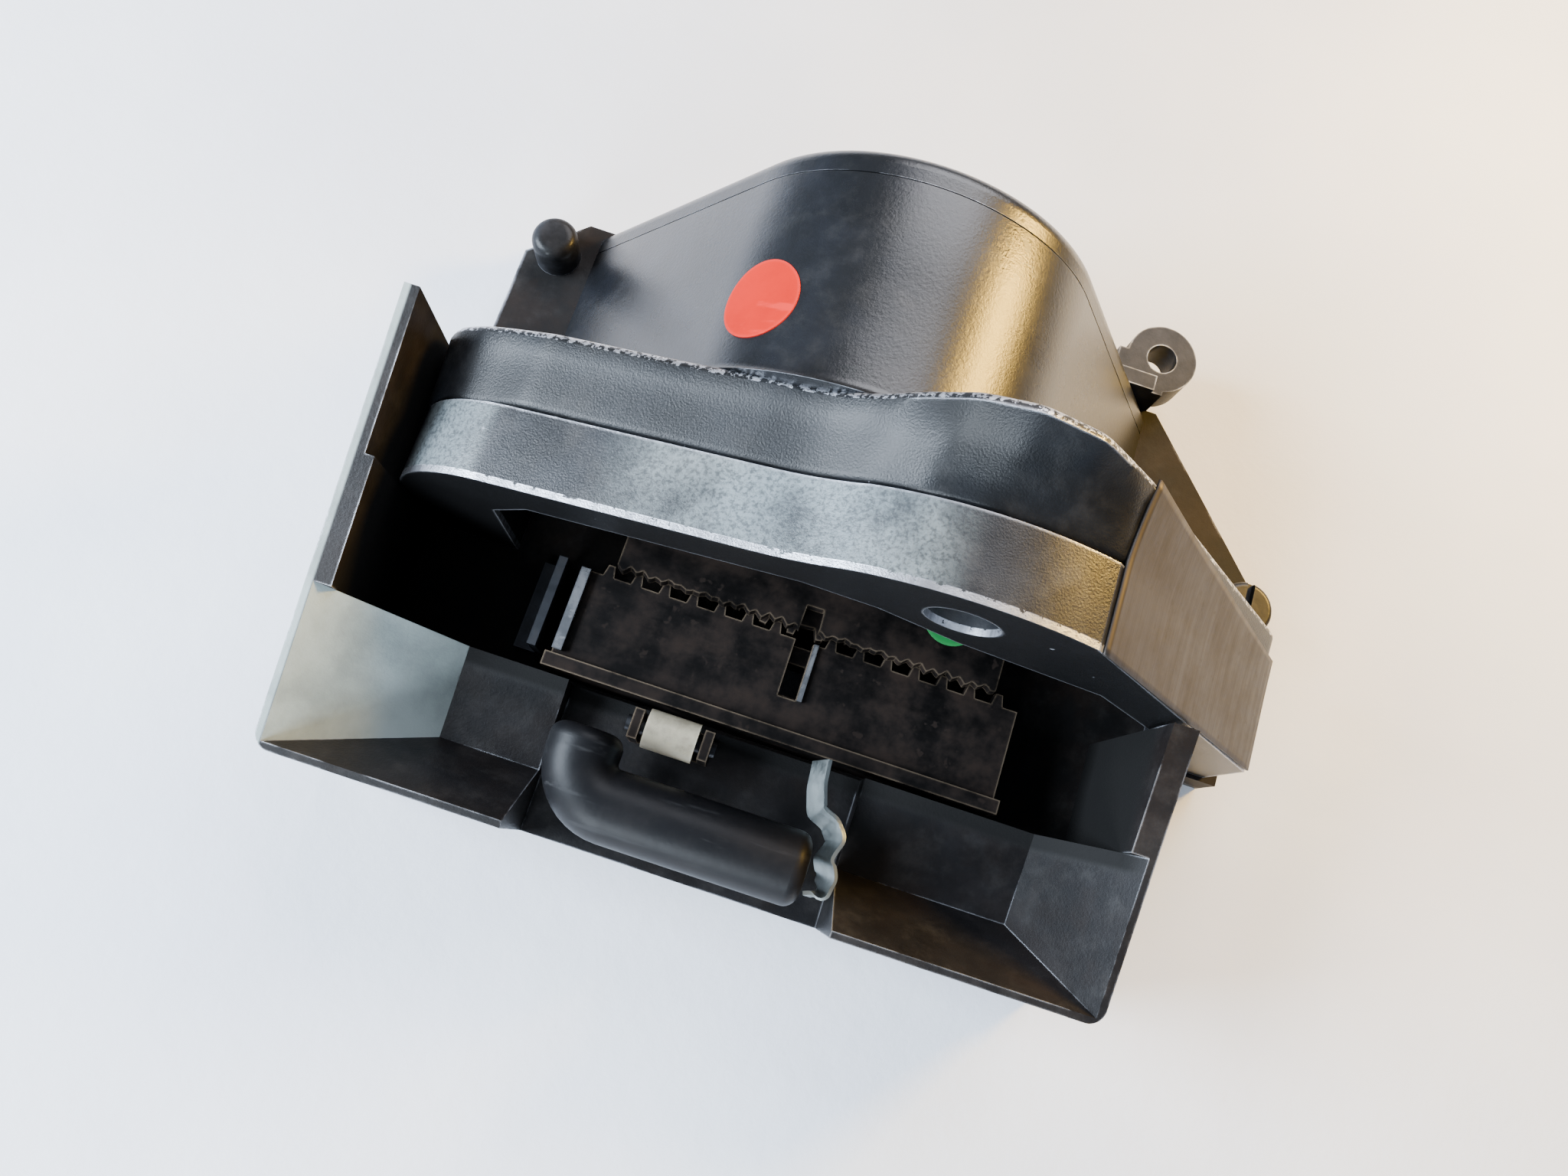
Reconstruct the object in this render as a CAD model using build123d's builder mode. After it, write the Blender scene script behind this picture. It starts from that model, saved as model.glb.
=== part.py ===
"""Thermostatic air vent: a die-cast vent body with a drum-shaped thermostat housing.

Frame: X across the vent, Y from the mouth towards the far end of the drum, Z up
from the flat back. The back of the gasket lies on Z = 0. All sizes are in mm.
"""
from math import cos, pi, radians, sin, tan
import os

from build123d import *

os.makedirs("parts", exist_ok=True)

# ---------------------------------------------------------------- vent body
FRAME_HALF = 40.0        # half the width of the body
SIDE_WALL = 2.4          # side walls of the open cavity
LIP_WALL = 1.5           # thin wall beside the left end of the cover
GASKET_T = 1.0
PLATE_T = 4.0            # floor plate of the body
CAVITY_Y = 15.3          # where the sill ends and the cavity begins
RIM_Z = 21.2             # height of the rim above the back at the mouth
RIM_TILT = 13.5          # slope of the rim, rising towards the drum, degrees
RIM_END_Y = 42.4         # far end of the thin left wall
MOUTH_DEPTH = 11.3       # depth of the bevelled mouth below the rim
MOUTH_LEFT = -27.0       # inner edges of the bevelled mouth
MOUTH_RIGHT = 32.0
MOUTH_LIP_Y = 6.2
MOUTH_MARGIN = 0.7       # flat left on the rim outside the bevels
FOOT_X = 52.0            # right edge of the floor plate under the cover's foot
FAR_Y = 67.0             # far edge of the floor plate
CORNER_R = 1.6           # outer upright corners of the mouth

# ------------------------------------------------- cover and housing flange
COVER_Y = 27.7           # underside of the cover
SEAM_Y = 35.1            # parting line between cover and housing flange
FLANGE_Y = 42.7          # back of the housing flange
SLOPE = 15.2             # slope of the long front face, degrees
FRONT_Z = 36.9           # height of that face's plane at X = 0
LEFT_X = -38.2           # rounded left end
FOOT_END_X = 50.5        # end of the flank, above the floor plate
NOSE_START_X = -3.0      # where the front face turns up into the nose
# nose of the cover and the fuller nose at the back of the flange, as (x, z):
# the hollow before the nose, its shoulder, its top, and the corner of the flank
COVER_NOSE = ((1.4, 37.8), (4.8, 39.9), (13.8, 42.6), (25.6, 40.8))
FLANGE_NOSE = ((2.4, 39.7), (6.4, 43.8), (15.1, 48.4), (26.3, 41.4))
FOOT_Z = 14.6            # lower end of the flank
HOLE_X, HOLE_Z = 15.6, 35.6          # threaded hole in the cover's underside
HOLE_R = 3.3
DOWEL_R = 1.5
DOWEL_LEN = 9.0
DOWELS = ((-33.0, 20.0), (30.5, 30.5))

# ------------------------------------------------------------------- drum
DRUM_X, DRUM_Z = 2.8, 18.2
DRUM_R = 19.8
DRUM_WALL = 3.0
LEFT_FALL = 52.8         # angle of the left flank, degrees
RIGHT_FALL = 58.0        # angle of the right flank, degrees
CAP_Y = 64.0             # joint between drum and end cap
CAP_FILLET = 1.8
CAP_SCREW_R = 1.6
CAP_HEAD_H = 1.8
CAP_SCREWS = ((-7.5, 28.0), (12.5, 28.5), (-18.0, 10.5), (22.0, 10.5))
FOOT_SCREWS = ((-22.0, 46.6), (-22.0, 53.6), (25.5, 46.6), (25.5, 53.6))
FOOT_BOSS_R = 3.2
FOOT_BOSS_H = 7.0
FOOT_SCREW_R = 1.5
SCREW_GAP = 0.1          # radial room round a screw's shank

# ------------------------------------------------------- thermostat spindle
SPIN_X, SPIN_Y = 2.8, 50.0
SPINDLE_R = 2.0
RUN_GAP = 0.05           # radial running clearance in the bushes
BUSH_R = 3.5
COIL_TURNS = 4.0
COIL_PITCH = (DRUM_R - 11.0) / COIL_TURNS
COIL_STRIP = 0.7
COIL_R0 = 3.4
COIL_Z0, COIL_H = 15.0, 6.0
HUB_R = 3.4
POST_R = 1.3
POST_GAP = 0.35         # room between the coil's tail and its post

# ------------------------------------------------------ shutter and its rack
SHUT_Z = 10.4            # underside of the shutter
SHUT_T = 1.5
SHUT_X0, SHUT_X1 = -19.5, 27.5
SHUT_Y0 = 17.0
RACK_ROOT_Y = 26.7
RACK_TIP_Y = 27.9
RACK_PITCH = 3.0
MESH_R = 22.6            # pitch radius of the toothed sector
MESH_GAP = 0.35          # room between a tooth tip and the facing root
SECTOR_FIRST, SECTOR_LAST = -5, 2     # teeth of the sector, counted from its rest position
TOOTH_TIP = 0.7
TOOTH_ROOT = 1.3
SLOT_X, SLOT_W = 4.5, 1.9
SLOT_Y0 = 20.6
PORT_T = 1.2
WINDOW_W = 7.0
SLIDE_GAP = 0.3          # room over the port plate
RAIL_T = 0.7
RAIL_X, RAIL_W = 4.0, 48.0
BAFFLE_X, BAFFLE_W = 4.2, 2 * DRUM_R + 0.8

# ---------------------------------------------------- finger bar and roller
NOTCH_X0, NOTCH_X1 = -16.6, 14.4
NOTCH_Z = 9.0
BAR_R = 3.6
BAR_Y, BAR_Z = 4.8, 17.0
BAR_LEFT = -12.4
BAR_RIGHT = 11.0
STEM_R = 1.5
STEM_GAP = 0.08
STEMS = (-6.0, 7.5)
ROLL_X, ROLL_Y, ROLL_Z = -5.2, 13.2, 13.2
ROLL_R = 2.0
ROLL_LEN = 5.2
ROLL_PIN_R = 0.8
CLIP_T = 0.7
CLIP_Z0, CLIP_H = 12.1, 4.2

# -------------------------------------------------------- lugs, knob, dots
LUG_R = 4.0
LUG_HOLE_R = 1.7
RIGHT_LUG = (33.4, 71.4)
LEFT_LUG = (-36.2, 62.2)
KNOB = (49.2, 46.2)
KNOB_R = 3.0
KNOB_STEM_R = 1.5
DOT_R = 4.0
DOT_T = 0.12
DOT_ANGLE = 38.0         # where the dot sits on the drum, degrees from the top
DOT_Y = 50.5
GREEN_DOT = (17.9, 33.9)

FLOOR_Z = GASKET_T + PLATE_T
BODY_LIFT = 1.0          # how far cutting tools overrun the faces they cut


def upright(y: float) -> Plane:
    """Plane across the vent at a given Y: sketch x is X, sketch y is Z."""
    return Plane(origin=(0, y, 0), x_dir=(1, 0, 0), z_dir=(0, -1, 0))


def level(z: float) -> Plane:
    """Plane parallel to the back at a given height."""
    return Plane(origin=(0, 0, z), x_dir=(1, 0, 0), z_dir=(0, 0, 1))


def save(solid, name: str) -> None:
    """Label a finished part and write it as STEP."""
    solid.label = name
    export_step(solid, f"parts/{name}.step")


def front_z(x: float) -> float:
    """Height of the long sloping front face at x."""
    return FRONT_Z + x * tan(radians(SLOPE))


def flange_outline(nose: tuple) -> None:
    """Draw the closed outline of the cover or flange in the current sketch."""
    hollow, shoulder, top, corner = nose
    start = (LEFT_X, FLOOR_Z)
    heel = (LEFT_X, 16.5)
    end_x = LEFT_X + 11.5
    end = (end_x, front_z(end_x))
    join = (NOSE_START_X, front_z(NOSE_START_X))
    foot = (FOOT_END_X, FOOT_Z)
    with BuildLine(Plane.XY) as outline:
        Line(start, heel)
        ThreePointArc(heel, (LEFT_X + 2.6, 23.9), end)
        Line(end, join)
        ThreePointArc(join, hollow, shoulder)
        ThreePointArc(shoulder, top, corner)
        Line(corner, foot)
        Line(foot, (FOOT_END_X, FLOOR_Z))
        Line((FOOT_END_X, FLOOR_Z), start)
    make_face(outline.line.edges())


def drum_outline(inset: float, z_floor: float) -> None:
    """Draw the drum section: a round top between two falling flanks."""
    r = DRUM_R - inset
    la, ra = radians(LEFT_FALL), radians(RIGHT_FALL)
    left = (DRUM_X - r * sin(la), DRUM_Z + r * cos(la))
    right = (DRUM_X + r * sin(ra), DRUM_Z + r * cos(ra))
    left_foot = (left[0] - (left[1] - z_floor) / tan(la), z_floor)
    right_foot = (right[0] + (right[1] - z_floor) / tan(ra), z_floor)
    with BuildLine(Plane.XY) as outline:
        Line(left_foot, left)
        ThreePointArc(left, (DRUM_X, DRUM_Z + r), right)
        Line(right, right_foot)
        Line(right_foot, left_foot)
    make_face(outline.line.edges())


# ============================================================ vent body
PLAN = [
    (-FRAME_HALF, 0), (FRAME_HALF, 0), (FRAME_HALF, COVER_Y - 0.5),
    (FOOT_X, COVER_Y - 0.5), (FOOT_X, 47.4), (50.4, 50.6), (35.6, FAR_Y),
    (-34.0, FAR_Y), (-FRAME_HALF, 61.5),
]
rim_plane = Plane(
    origin=(0, 0, RIM_Z), x_dir=(1, 0, 0),
    z_dir=(0, -sin(radians(RIM_TILT)), cos(radians(RIM_TILT))),
)
PORT = (0.0, 21.7, 34.0, 7.4)        # air port: centre x, y and size

with BuildPart() as back_plate:
    with BuildSketch(level(GASKET_T)):
        Polygon(*PLAN, align=None)
        with Locations((PORT[0], PORT[1])):
            Rectangle(PORT[2], PORT[3], mode=Mode.SUBTRACT)
        with Locations((SPIN_X, SPIN_Y)):
            Circle(BUSH_R, mode=Mode.SUBTRACT)
    extrude(amount=PLATE_T)
    # blind bores for the finger bar's stems and the knob's stem, and the foot screws
    with BuildSketch(level(GASKET_T + 1.5)):
        with Locations(*[(x, BAR_Y) for x in STEMS]):
            Circle(STEM_R + STEM_GAP)
        with Locations(KNOB):
            Circle(KNOB_STEM_R + RUN_GAP)
    extrude(amount=20, mode=Mode.SUBTRACT)
    with Locations(*[Location((x, y, GASKET_T), (180, 0, 0)) for x, y in FOOT_SCREWS]):
        CounterSinkHole(FOOT_SCREW_R + SCREW_GAP, 2 * FOOT_SCREW_R, PLATE_T, 90)
save(back_plate.part, "back_plate")

with BuildPart() as mouth_frame:
    # sill block and the side walls of the cavity
    with BuildSketch(level(FLOOR_Z)):
        with Locations((0, CAVITY_Y / 2)):
            Rectangle(2 * FRAME_HALF, CAVITY_Y)
        wall_len = COVER_Y - 0.5 - CAVITY_Y
        for side in (-1, 1):
            with Locations((side * (FRAME_HALF - SIDE_WALL / 2), CAVITY_Y + wall_len / 2)):
                Rectangle(SIDE_WALL, wall_len)
        lip_len = RIM_END_Y - CAVITY_Y
        with Locations((-FRAME_HALF + LIP_WALL / 2, CAVITY_Y + lip_len / 2)):
            Rectangle(LIP_WALL, lip_len)
    extrude(amount=30)
    # the rim slopes up towards the drum
    with BuildSketch(rim_plane):
        with Locations((0, 40)):
            Rectangle(200, 140)
    extrude(amount=40, mode=Mode.SUBTRACT)
    # rounded outer corners of the mouth
    fillet(mouth_frame.edges().filter_by(Axis.Z).filter_by(
        lambda e: abs(e.center().Y) < 0.1 and abs(e.center().X) > FRAME_HALF - 0.1), CORNER_R)
    # bevelled mouth, sunk from the rim towards the middle
    reach = CAVITY_Y + 6.0
    deep_lip = MOUTH_LIP_Y - MOUTH_DEPTH * sin(radians(RIM_TILT))
    with BuildSketch(rim_plane.offset(-MOUTH_DEPTH)):
        with Locations(((MOUTH_LEFT + MOUTH_RIGHT) / 2, (deep_lip + reach) / 2)):
            Rectangle(MOUTH_RIGHT - MOUTH_LEFT, reach - deep_lip)
    with BuildSketch(rim_plane.offset(0.02)):
        edge = FRAME_HALF - MOUTH_MARGIN
        with Locations((0, (MOUTH_MARGIN + reach) / 2)):
            Rectangle(2 * edge, reach - MOUTH_MARGIN)
    loft(ruled=True, mode=Mode.SUBTRACT)
    # the loft may not bite into the side walls of the cavity
    with BuildSketch(level(FLOOR_Z)):
        for side in (-1, 1):
            with Locations((side * (FRAME_HALF - SIDE_WALL / 2), CAVITY_Y + wall_len / 2)):
                Rectangle(SIDE_WALL, wall_len)
    extrude(amount=30)
    with BuildSketch(rim_plane):
        with Locations((0, 40)):
            Rectangle(200, 140)
    extrude(amount=40, mode=Mode.SUBTRACT)
    # notch for the finger bar, open to the mouth and the cavity
    notch_mid = (NOTCH_X0 + NOTCH_X1) / 2
    with BuildSketch(level(NOTCH_Z)):
        with Locations((notch_mid, CAVITY_Y / 2)):
            Rectangle(NOTCH_X1 - NOTCH_X0, CAVITY_Y + 2 * BODY_LIFT)
    extrude(amount=30, mode=Mode.SUBTRACT)
    # bores for the finger bar's stems
    with BuildSketch(level(FLOOR_Z)):
        with Locations(*[(x, BAR_Y) for x in STEMS]):
            Circle(STEM_R + STEM_GAP)
    extrude(amount=20, mode=Mode.SUBTRACT)
save(mouth_frame.part, "mouth_frame")

# a low frame carries the port plate over the air port
with BuildPart() as port_frame:
    with BuildSketch(level(FLOOR_Z)):
        with Locations((PORT[0], PORT[1])):
            Rectangle(PORT[2] + 4, PORT[3] + 1.8)
            Rectangle(PORT[2], PORT[3], mode=Mode.SUBTRACT)
    extrude(amount=SHUT_Z - SLIDE_GAP - PORT_T - FLOOR_Z)
save(port_frame.part, "port_frame")

with BuildPart() as back_gasket:
    with BuildSketch(level(0)):
        Polygon(*PLAN, align=None)
        with Locations((PORT[0], PORT[1])):
            Rectangle(PORT[2], PORT[3], mode=Mode.SUBTRACT)
        with Locations(*FOOT_SCREWS):
            Circle(2 * FOOT_SCREW_R + 0.6, mode=Mode.SUBTRACT)
    extrude(amount=GASKET_T)
save(back_gasket.part, "back_gasket")

# ============================================================ cover
with BuildPart() as front_cover:
    with BuildSketch(upright(COVER_Y)):
        flange_outline(COVER_NOSE)
        Polygon((-28, FLOOR_Z - 1), (-28, 20), (-24, 24.5), (2, 31.4), (9, 31.2),
                (16.8, 28.4), (31, 26.4), (43, 15), (43, FLOOR_Z - 1),
                align=None, mode=Mode.SUBTRACT)
    extrude(amount=-(SEAM_Y - COVER_Y))
    with BuildSketch(upright(COVER_Y)):
        with Locations((HOLE_X, HOLE_Z)):
            Circle(HOLE_R)
    extrude(amount=-(SEAM_Y - COVER_Y), mode=Mode.SUBTRACT)
    with BuildSketch(upright(SEAM_Y)):
        with Locations(*DOWELS):
            Circle(DOWEL_R)
    extrude(amount=DOWEL_LEN / 2, mode=Mode.SUBTRACT)
save(front_cover.part, "front_cover")

with BuildPart() as cover_dowels:
    with BuildSketch(upright(SEAM_Y - DOWEL_LEN / 2 + 0.2)):
        with Locations(*DOWELS):
            Circle(DOWEL_R)
    extrude(amount=-(DOWEL_LEN - 0.4))
save(cover_dowels.part, "cover_dowels")

# ============================================================ drum housing
with BuildPart() as drum_housing:
    # flange: the cover's outline swells into the fuller nose
    with BuildSketch(upright(SEAM_Y)):
        flange_outline(COVER_NOSE)
    with BuildSketch(upright(FLANGE_Y)):
        flange_outline(FLANGE_NOSE)
    loft(ruled=True)
    # drum
    with BuildSketch(upright(SEAM_Y + 2)):
        drum_outline(0, FLOOR_Z)
    extrude(amount=-(CAP_Y - SEAM_Y - 2))
    # hollow
    with BuildSketch(upright(SEAM_Y - BODY_LIFT)):
        drum_outline(DRUM_WALL, FLOOR_Z - BODY_LIFT)
    extrude(amount=-(CAP_Y - SEAM_Y + 2 * BODY_LIFT), mode=Mode.SUBTRACT)
    # screw bosses at the feet
    with BuildSketch(level(FLOOR_Z)):
        with Locations(*FOOT_SCREWS):
            Circle(FOOT_BOSS_R)
    extrude(amount=FOOT_BOSS_H)
    with BuildSketch(level(FLOOR_Z)):
        with Locations(*FOOT_SCREWS):
            Circle(FOOT_SCREW_R + SCREW_GAP)
    extrude(amount=FOOT_BOSS_H - 1.0, mode=Mode.SUBTRACT)
    # bearing boss under the roof
    roof = DRUM_Z + DRUM_R - DRUM_WALL
    with BuildSketch(level(24.0)):
        with Locations((SPIN_X, SPIN_Y)):
            Circle(BUSH_R + 2.2)
    extrude(amount=roof - 24.0 + 1.0)
    with BuildSketch(level(24.0)):
        with Locations((SPIN_X, SPIN_Y)):
            Circle(BUSH_R)
    extrude(amount=6.0, mode=Mode.SUBTRACT)
    # bosses for the end-cap screws
    with BuildSketch(upright(CAP_Y - 8)):
        with Locations(*CAP_SCREWS):
            Circle(CAP_SCREW_R + 1.6)
    extrude(amount=-8)
    with BuildSketch(upright(CAP_Y - 6)):
        with Locations(*CAP_SCREWS):
            Circle(CAP_SCREW_R + SCREW_GAP)
    extrude(amount=-7, mode=Mode.SUBTRACT)
    with BuildSketch(upright(SEAM_Y)):
        with Locations(*DOWELS):
            Circle(DOWEL_R)
    extrude(amount=-DOWEL_LEN / 2, mode=Mode.SUBTRACT)
save(drum_housing.part, "drum_housing")

with BuildPart() as end_cap:
    with BuildSketch(upright(CAP_Y)):
        drum_outline(0, FLOOR_Z)
    extrude(amount=-(FAR_Y - CAP_Y))
    fillet(end_cap.edges().filter_by(
        lambda e: abs(e.center().Y - FAR_Y) < 0.01 and e.center().Z > FLOOR_Z + 1), CAP_FILLET)
    with BuildSketch(upright(CAP_Y)):
        with Locations(*CAP_SCREWS):
            Circle(CAP_SCREW_R + SCREW_GAP)
    extrude(amount=-5, mode=Mode.SUBTRACT)
    with BuildSketch(upright(FAR_Y - CAP_HEAD_H)):
        with Locations(*CAP_SCREWS):
            Circle(CAP_SCREW_R + 1.2)
    extrude(amount=-2, mode=Mode.SUBTRACT)
save(end_cap.part, "end_cap")

with BuildPart() as end_cap_screws:
    with BuildSketch(upright(CAP_Y - 5)):
        with Locations(*CAP_SCREWS):
            Circle(CAP_SCREW_R)
    extrude(amount=-(FAR_Y - CAP_Y + 5 - CAP_HEAD_H))
    with BuildSketch(upright(FAR_Y - CAP_HEAD_H)):
        with Locations(*CAP_SCREWS):
            Circle(CAP_SCREW_R + 1.0)
    extrude(amount=-(CAP_HEAD_H - 0.2))
    with BuildSketch(upright(FAR_Y - 0.2)):
        with Locations(*CAP_SCREWS):
            Rectangle(0.6, 2.4 * CAP_SCREW_R)
    extrude(amount=0.7, mode=Mode.SUBTRACT)
save(end_cap_screws.part, "end_cap_screws")

with BuildPart() as foot_screws:
    with BuildSketch(level(GASKET_T + 0.3)):
        with Locations(*FOOT_SCREWS):
            Circle(FOOT_SCREW_R)
    extrude(amount=FLOOR_Z + 5.0 - GASKET_T - 0.3)
    with Locations(*[(x, y, GASKET_T) for x, y in FOOT_SCREWS]):
        Cone(2 * FOOT_SCREW_R, FOOT_SCREW_R, FOOT_SCREW_R,
             align=(Align.CENTER, Align.CENTER, Align.MIN))
    with BuildSketch(level(GASKET_T)):
        with Locations(*FOOT_SCREWS):
            Rectangle(0.6, 2.6 * FOOT_SCREW_R)
    extrude(amount=0.6, mode=Mode.SUBTRACT)
save(foot_screws.part, "foot_screws")

# ============================================================ lugs
with BuildPart() as right_lug:
    with BuildSketch(upright(FAR_Y)):
        with Locations((RIGHT_LUG[0] - 3.4, FLOOR_Z + 2.6)):
            Rectangle(6.4, 5.2)
    extrude(amount=-1.8)
    with BuildSketch(level(FLOOR_Z)):
        with Locations(RIGHT_LUG):
            Circle(LUG_R)
        with Locations((RIGHT_LUG[0] - 2.0, FAR_Y + 2.2)):
            Rectangle(6.0, 4.4)
    extrude(amount=4.5)
    with BuildSketch(level(FLOOR_Z)):
        with Locations(RIGHT_LUG):
            Circle(LUG_HOLE_R)
    extrude(amount=8, mode=Mode.SUBTRACT)
save(right_lug.part, "right_lug")

with BuildPart() as left_lug:
    with BuildSketch(level(FLOOR_Z)):
        with Locations(LEFT_LUG):
            Circle(LUG_R - 1.4)
    extrude(amount=4.5)
    fillet(left_lug.edges().sort_by(Axis.Z)[-1], 1.2)
save(left_lug.part, "left_lug")

# ============================================================ thermostat
with BuildPart() as lower_bush:
    with BuildSketch(level(GASKET_T)):
        with Locations((SPIN_X, SPIN_Y)):
            Circle(BUSH_R)
    extrude(amount=PLATE_T)
    with BuildSketch(level(FLOOR_Z)):
        with Locations((SPIN_X, SPIN_Y)):
            Circle(BUSH_R + 1.4)
    extrude(amount=1.2)
    with BuildSketch(level(GASKET_T + 0.8)):
        with Locations((SPIN_X, SPIN_Y)):
            Circle(SPINDLE_R + RUN_GAP)
    extrude(amount=10, mode=Mode.SUBTRACT)
save(lower_bush.part, "lower_bush")

with BuildPart() as upper_bush:
    with BuildSketch(level(23.4)):
        with Locations((SPIN_X, SPIN_Y)):
            Circle(BUSH_R)
            Circle(SPINDLE_R + RUN_GAP, mode=Mode.SUBTRACT)
    extrude(amount=5.6)
save(upper_bush.part, "upper_bush")

with BuildPart() as spindle:
    with BuildSketch(level(GASKET_T + 1.1)):
        with Locations((SPIN_X, SPIN_Y)):
            Circle(SPINDLE_R)
    extrude(amount=26.4)
    with BuildSketch(level(FLOOR_Z + 1.5)):
        with Locations((SPIN_X, SPIN_Y)):
            Circle(SPINDLE_R + 1.4)
    extrude(amount=SHUT_Z - FLOOR_Z - 1.5)
save(spindle.part, "spindle")

with BuildPart() as toothed_sector:
    step = RACK_PITCH / MESH_R
    low, high = (SECTOR_FIRST - 0.6) * step, (SECTOR_LAST + 0.6) * step
    mid = (low + high) / 2
    root_r = SPIN_Y - RACK_TIP_Y - MESH_GAP
    tip_r = SPIN_Y - RACK_ROOT_Y - MESH_GAP
    with BuildSketch(level(SHUT_Z)):
        with Locations((SPIN_X, SPIN_Y)):
            Circle(SPINDLE_R + 2.6)
        with BuildLine():
            edge_a, crown, edge_b = [
                (SPIN_X + root_r * sin(a), SPIN_Y - root_r * cos(a)) for a in (low, mid, high)]
            Line((SPIN_X, SPIN_Y), edge_a)
            ThreePointArc(edge_a, crown, edge_b)
            Line(edge_b, (SPIN_X, SPIN_Y))
        make_face()
        for k in range(SECTOR_FIRST, SECTOR_LAST + 1):
            turn = k * step
            tooth = [(-TOOTH_ROOT / 2, root_r - 0.3), (TOOTH_ROOT / 2, root_r - 0.3),
                     (TOOTH_TIP / 2, tip_r), (-TOOTH_TIP / 2, tip_r)]
            corners = [(SPIN_X + t * cos(turn) + r * sin(turn),
                        SPIN_Y + t * sin(turn) - r * cos(turn)) for t, r in tooth]
            Polygon(*corners, align=None)
        # two lightening windows and the spindle's seat
        for side in (-1, 1):
            spoke = mid + side * 0.26
            with Locations((SPIN_X + 14 * sin(spoke), SPIN_Y - 14 * cos(spoke))):
                Circle(2.4, mode=Mode.SUBTRACT)
        with Locations((SPIN_X, SPIN_Y)):
            Circle(SPINDLE_R, mode=Mode.SUBTRACT)
    extrude(amount=SHUT_T)
save(toothed_sector.part, "toothed_sector")

with BuildPart() as coil_hub:
    with BuildSketch(level(SHUT_Z + SHUT_T)):
        with Locations((SPIN_X, SPIN_Y)):
            Circle(HUB_R)
            Circle(SPINDLE_R, mode=Mode.SUBTRACT)
    extrude(amount=COIL_Z0 + COIL_H + 0.4 - SHUT_Z - SHUT_T)
save(coil_hub.part, "coil_hub")

with BuildPart() as bimetal_coil:
    inner = []
    outer = []
    count = int(COIL_TURNS * 24)
    for i in range(count + 1):
        a = 2 * pi * COIL_TURNS * i / count
        r = COIL_R0 + COIL_PITCH * a / (2 * pi)
        inner.append((SPIN_X + r * cos(a), SPIN_Y + r * sin(a)))
        outer.append((SPIN_X + (r + COIL_STRIP) * cos(a), SPIN_Y + (r + COIL_STRIP) * sin(a)))
    with BuildSketch(level(COIL_Z0)):
        with BuildLine():
            Spline(*inner)
            Spline(*outer)
            Line(inner[0], outer[0])
            Line(inner[-1], outer[-1])
        make_face()
    extrude(amount=COIL_H)
    with BuildSketch(level(COIL_Z0 - 0.5)):
        with Locations((SPIN_X, SPIN_Y)):
            Circle(HUB_R)
    extrude(amount=COIL_H + 1, mode=Mode.SUBTRACT)
save(bimetal_coil.part, "bimetal_coil")

with BuildPart() as spindle_clip:
    with BuildSketch(level(COIL_Z0 + COIL_H + 0.4)):
        with Locations((SPIN_X, SPIN_Y)):
            Circle(SPINDLE_R + 1.2)
            Circle(SPINDLE_R, mode=Mode.SUBTRACT)
        with Locations((SPIN_X, SPIN_Y + SPINDLE_R + 0.8)):
            Rectangle(1.6, 2.4, mode=Mode.SUBTRACT)
    extrude(amount=0.7)
save(spindle_clip.part, "spindle_clip")

with BuildPart() as coil_post:
    with BuildSketch(level(FLOOR_Z)):
        with Locations((SPIN_X + COIL_R0 + COIL_PITCH * COIL_TURNS + COIL_STRIP + POST_GAP + POST_R, SPIN_Y)):
            Circle(POST_R)
    extrude(amount=COIL_Z0 + COIL_H - FLOOR_Z)
save(coil_post.part, "coil_post")

# ============================================================ shutter
with BuildPart() as port_plate:
    with BuildSketch(level(SHUT_Z - SLIDE_GAP - PORT_T)):
        with Locations((PORT[0], PORT[1])):
            Rectangle(PORT[2] + 4, PORT[3] + 1.8)
        # throttled window, and the bleed under the shutter's slot
        with Locations((PORT[0] - PORT[2] / 2 + WINDOW_W / 2, PORT[1])):
            Rectangle(WINDOW_W, PORT[3] - 0.4, mode=Mode.SUBTRACT)
        with Locations((SLOT_X, PORT[1] + 1.0)):
            Rectangle(SLOT_W, PORT[3] - 4, mode=Mode.SUBTRACT)
    extrude(amount=PORT_T)
save(port_plate.part, "port_plate")

with BuildPart() as shutter_plate:
    with BuildSketch(level(SHUT_Z)):
        with Locations(((SHUT_X0 + SHUT_X1) / 2, (SHUT_Y0 + RACK_ROOT_Y) / 2)):
            Rectangle(SHUT_X1 - SHUT_X0, RACK_ROOT_Y - SHUT_Y0)
        first = SPIN_X + RACK_PITCH / 2
        for k in range(-8, 9):
            x = first + k * RACK_PITCH
            if x - TOOTH_ROOT / 2 < SHUT_X0 or x + TOOTH_ROOT / 2 > SHUT_X1:
                continue
            Polygon((x - TOOTH_ROOT / 2, RACK_ROOT_Y - 0.2), (x + TOOTH_ROOT / 2, RACK_ROOT_Y - 0.2),
                    (x + TOOTH_TIP / 2, RACK_TIP_Y), (x - TOOTH_TIP / 2, RACK_TIP_Y), align=None)
        with Locations((SLOT_X, (SLOT_Y0 + RACK_TIP_Y + 1) / 2)):
            Rectangle(SLOT_W, RACK_TIP_Y + 1 - SLOT_Y0, mode=Mode.SUBTRACT)
    extrude(amount=SHUT_T)
save(shutter_plate.part, "shutter_plate")

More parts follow.
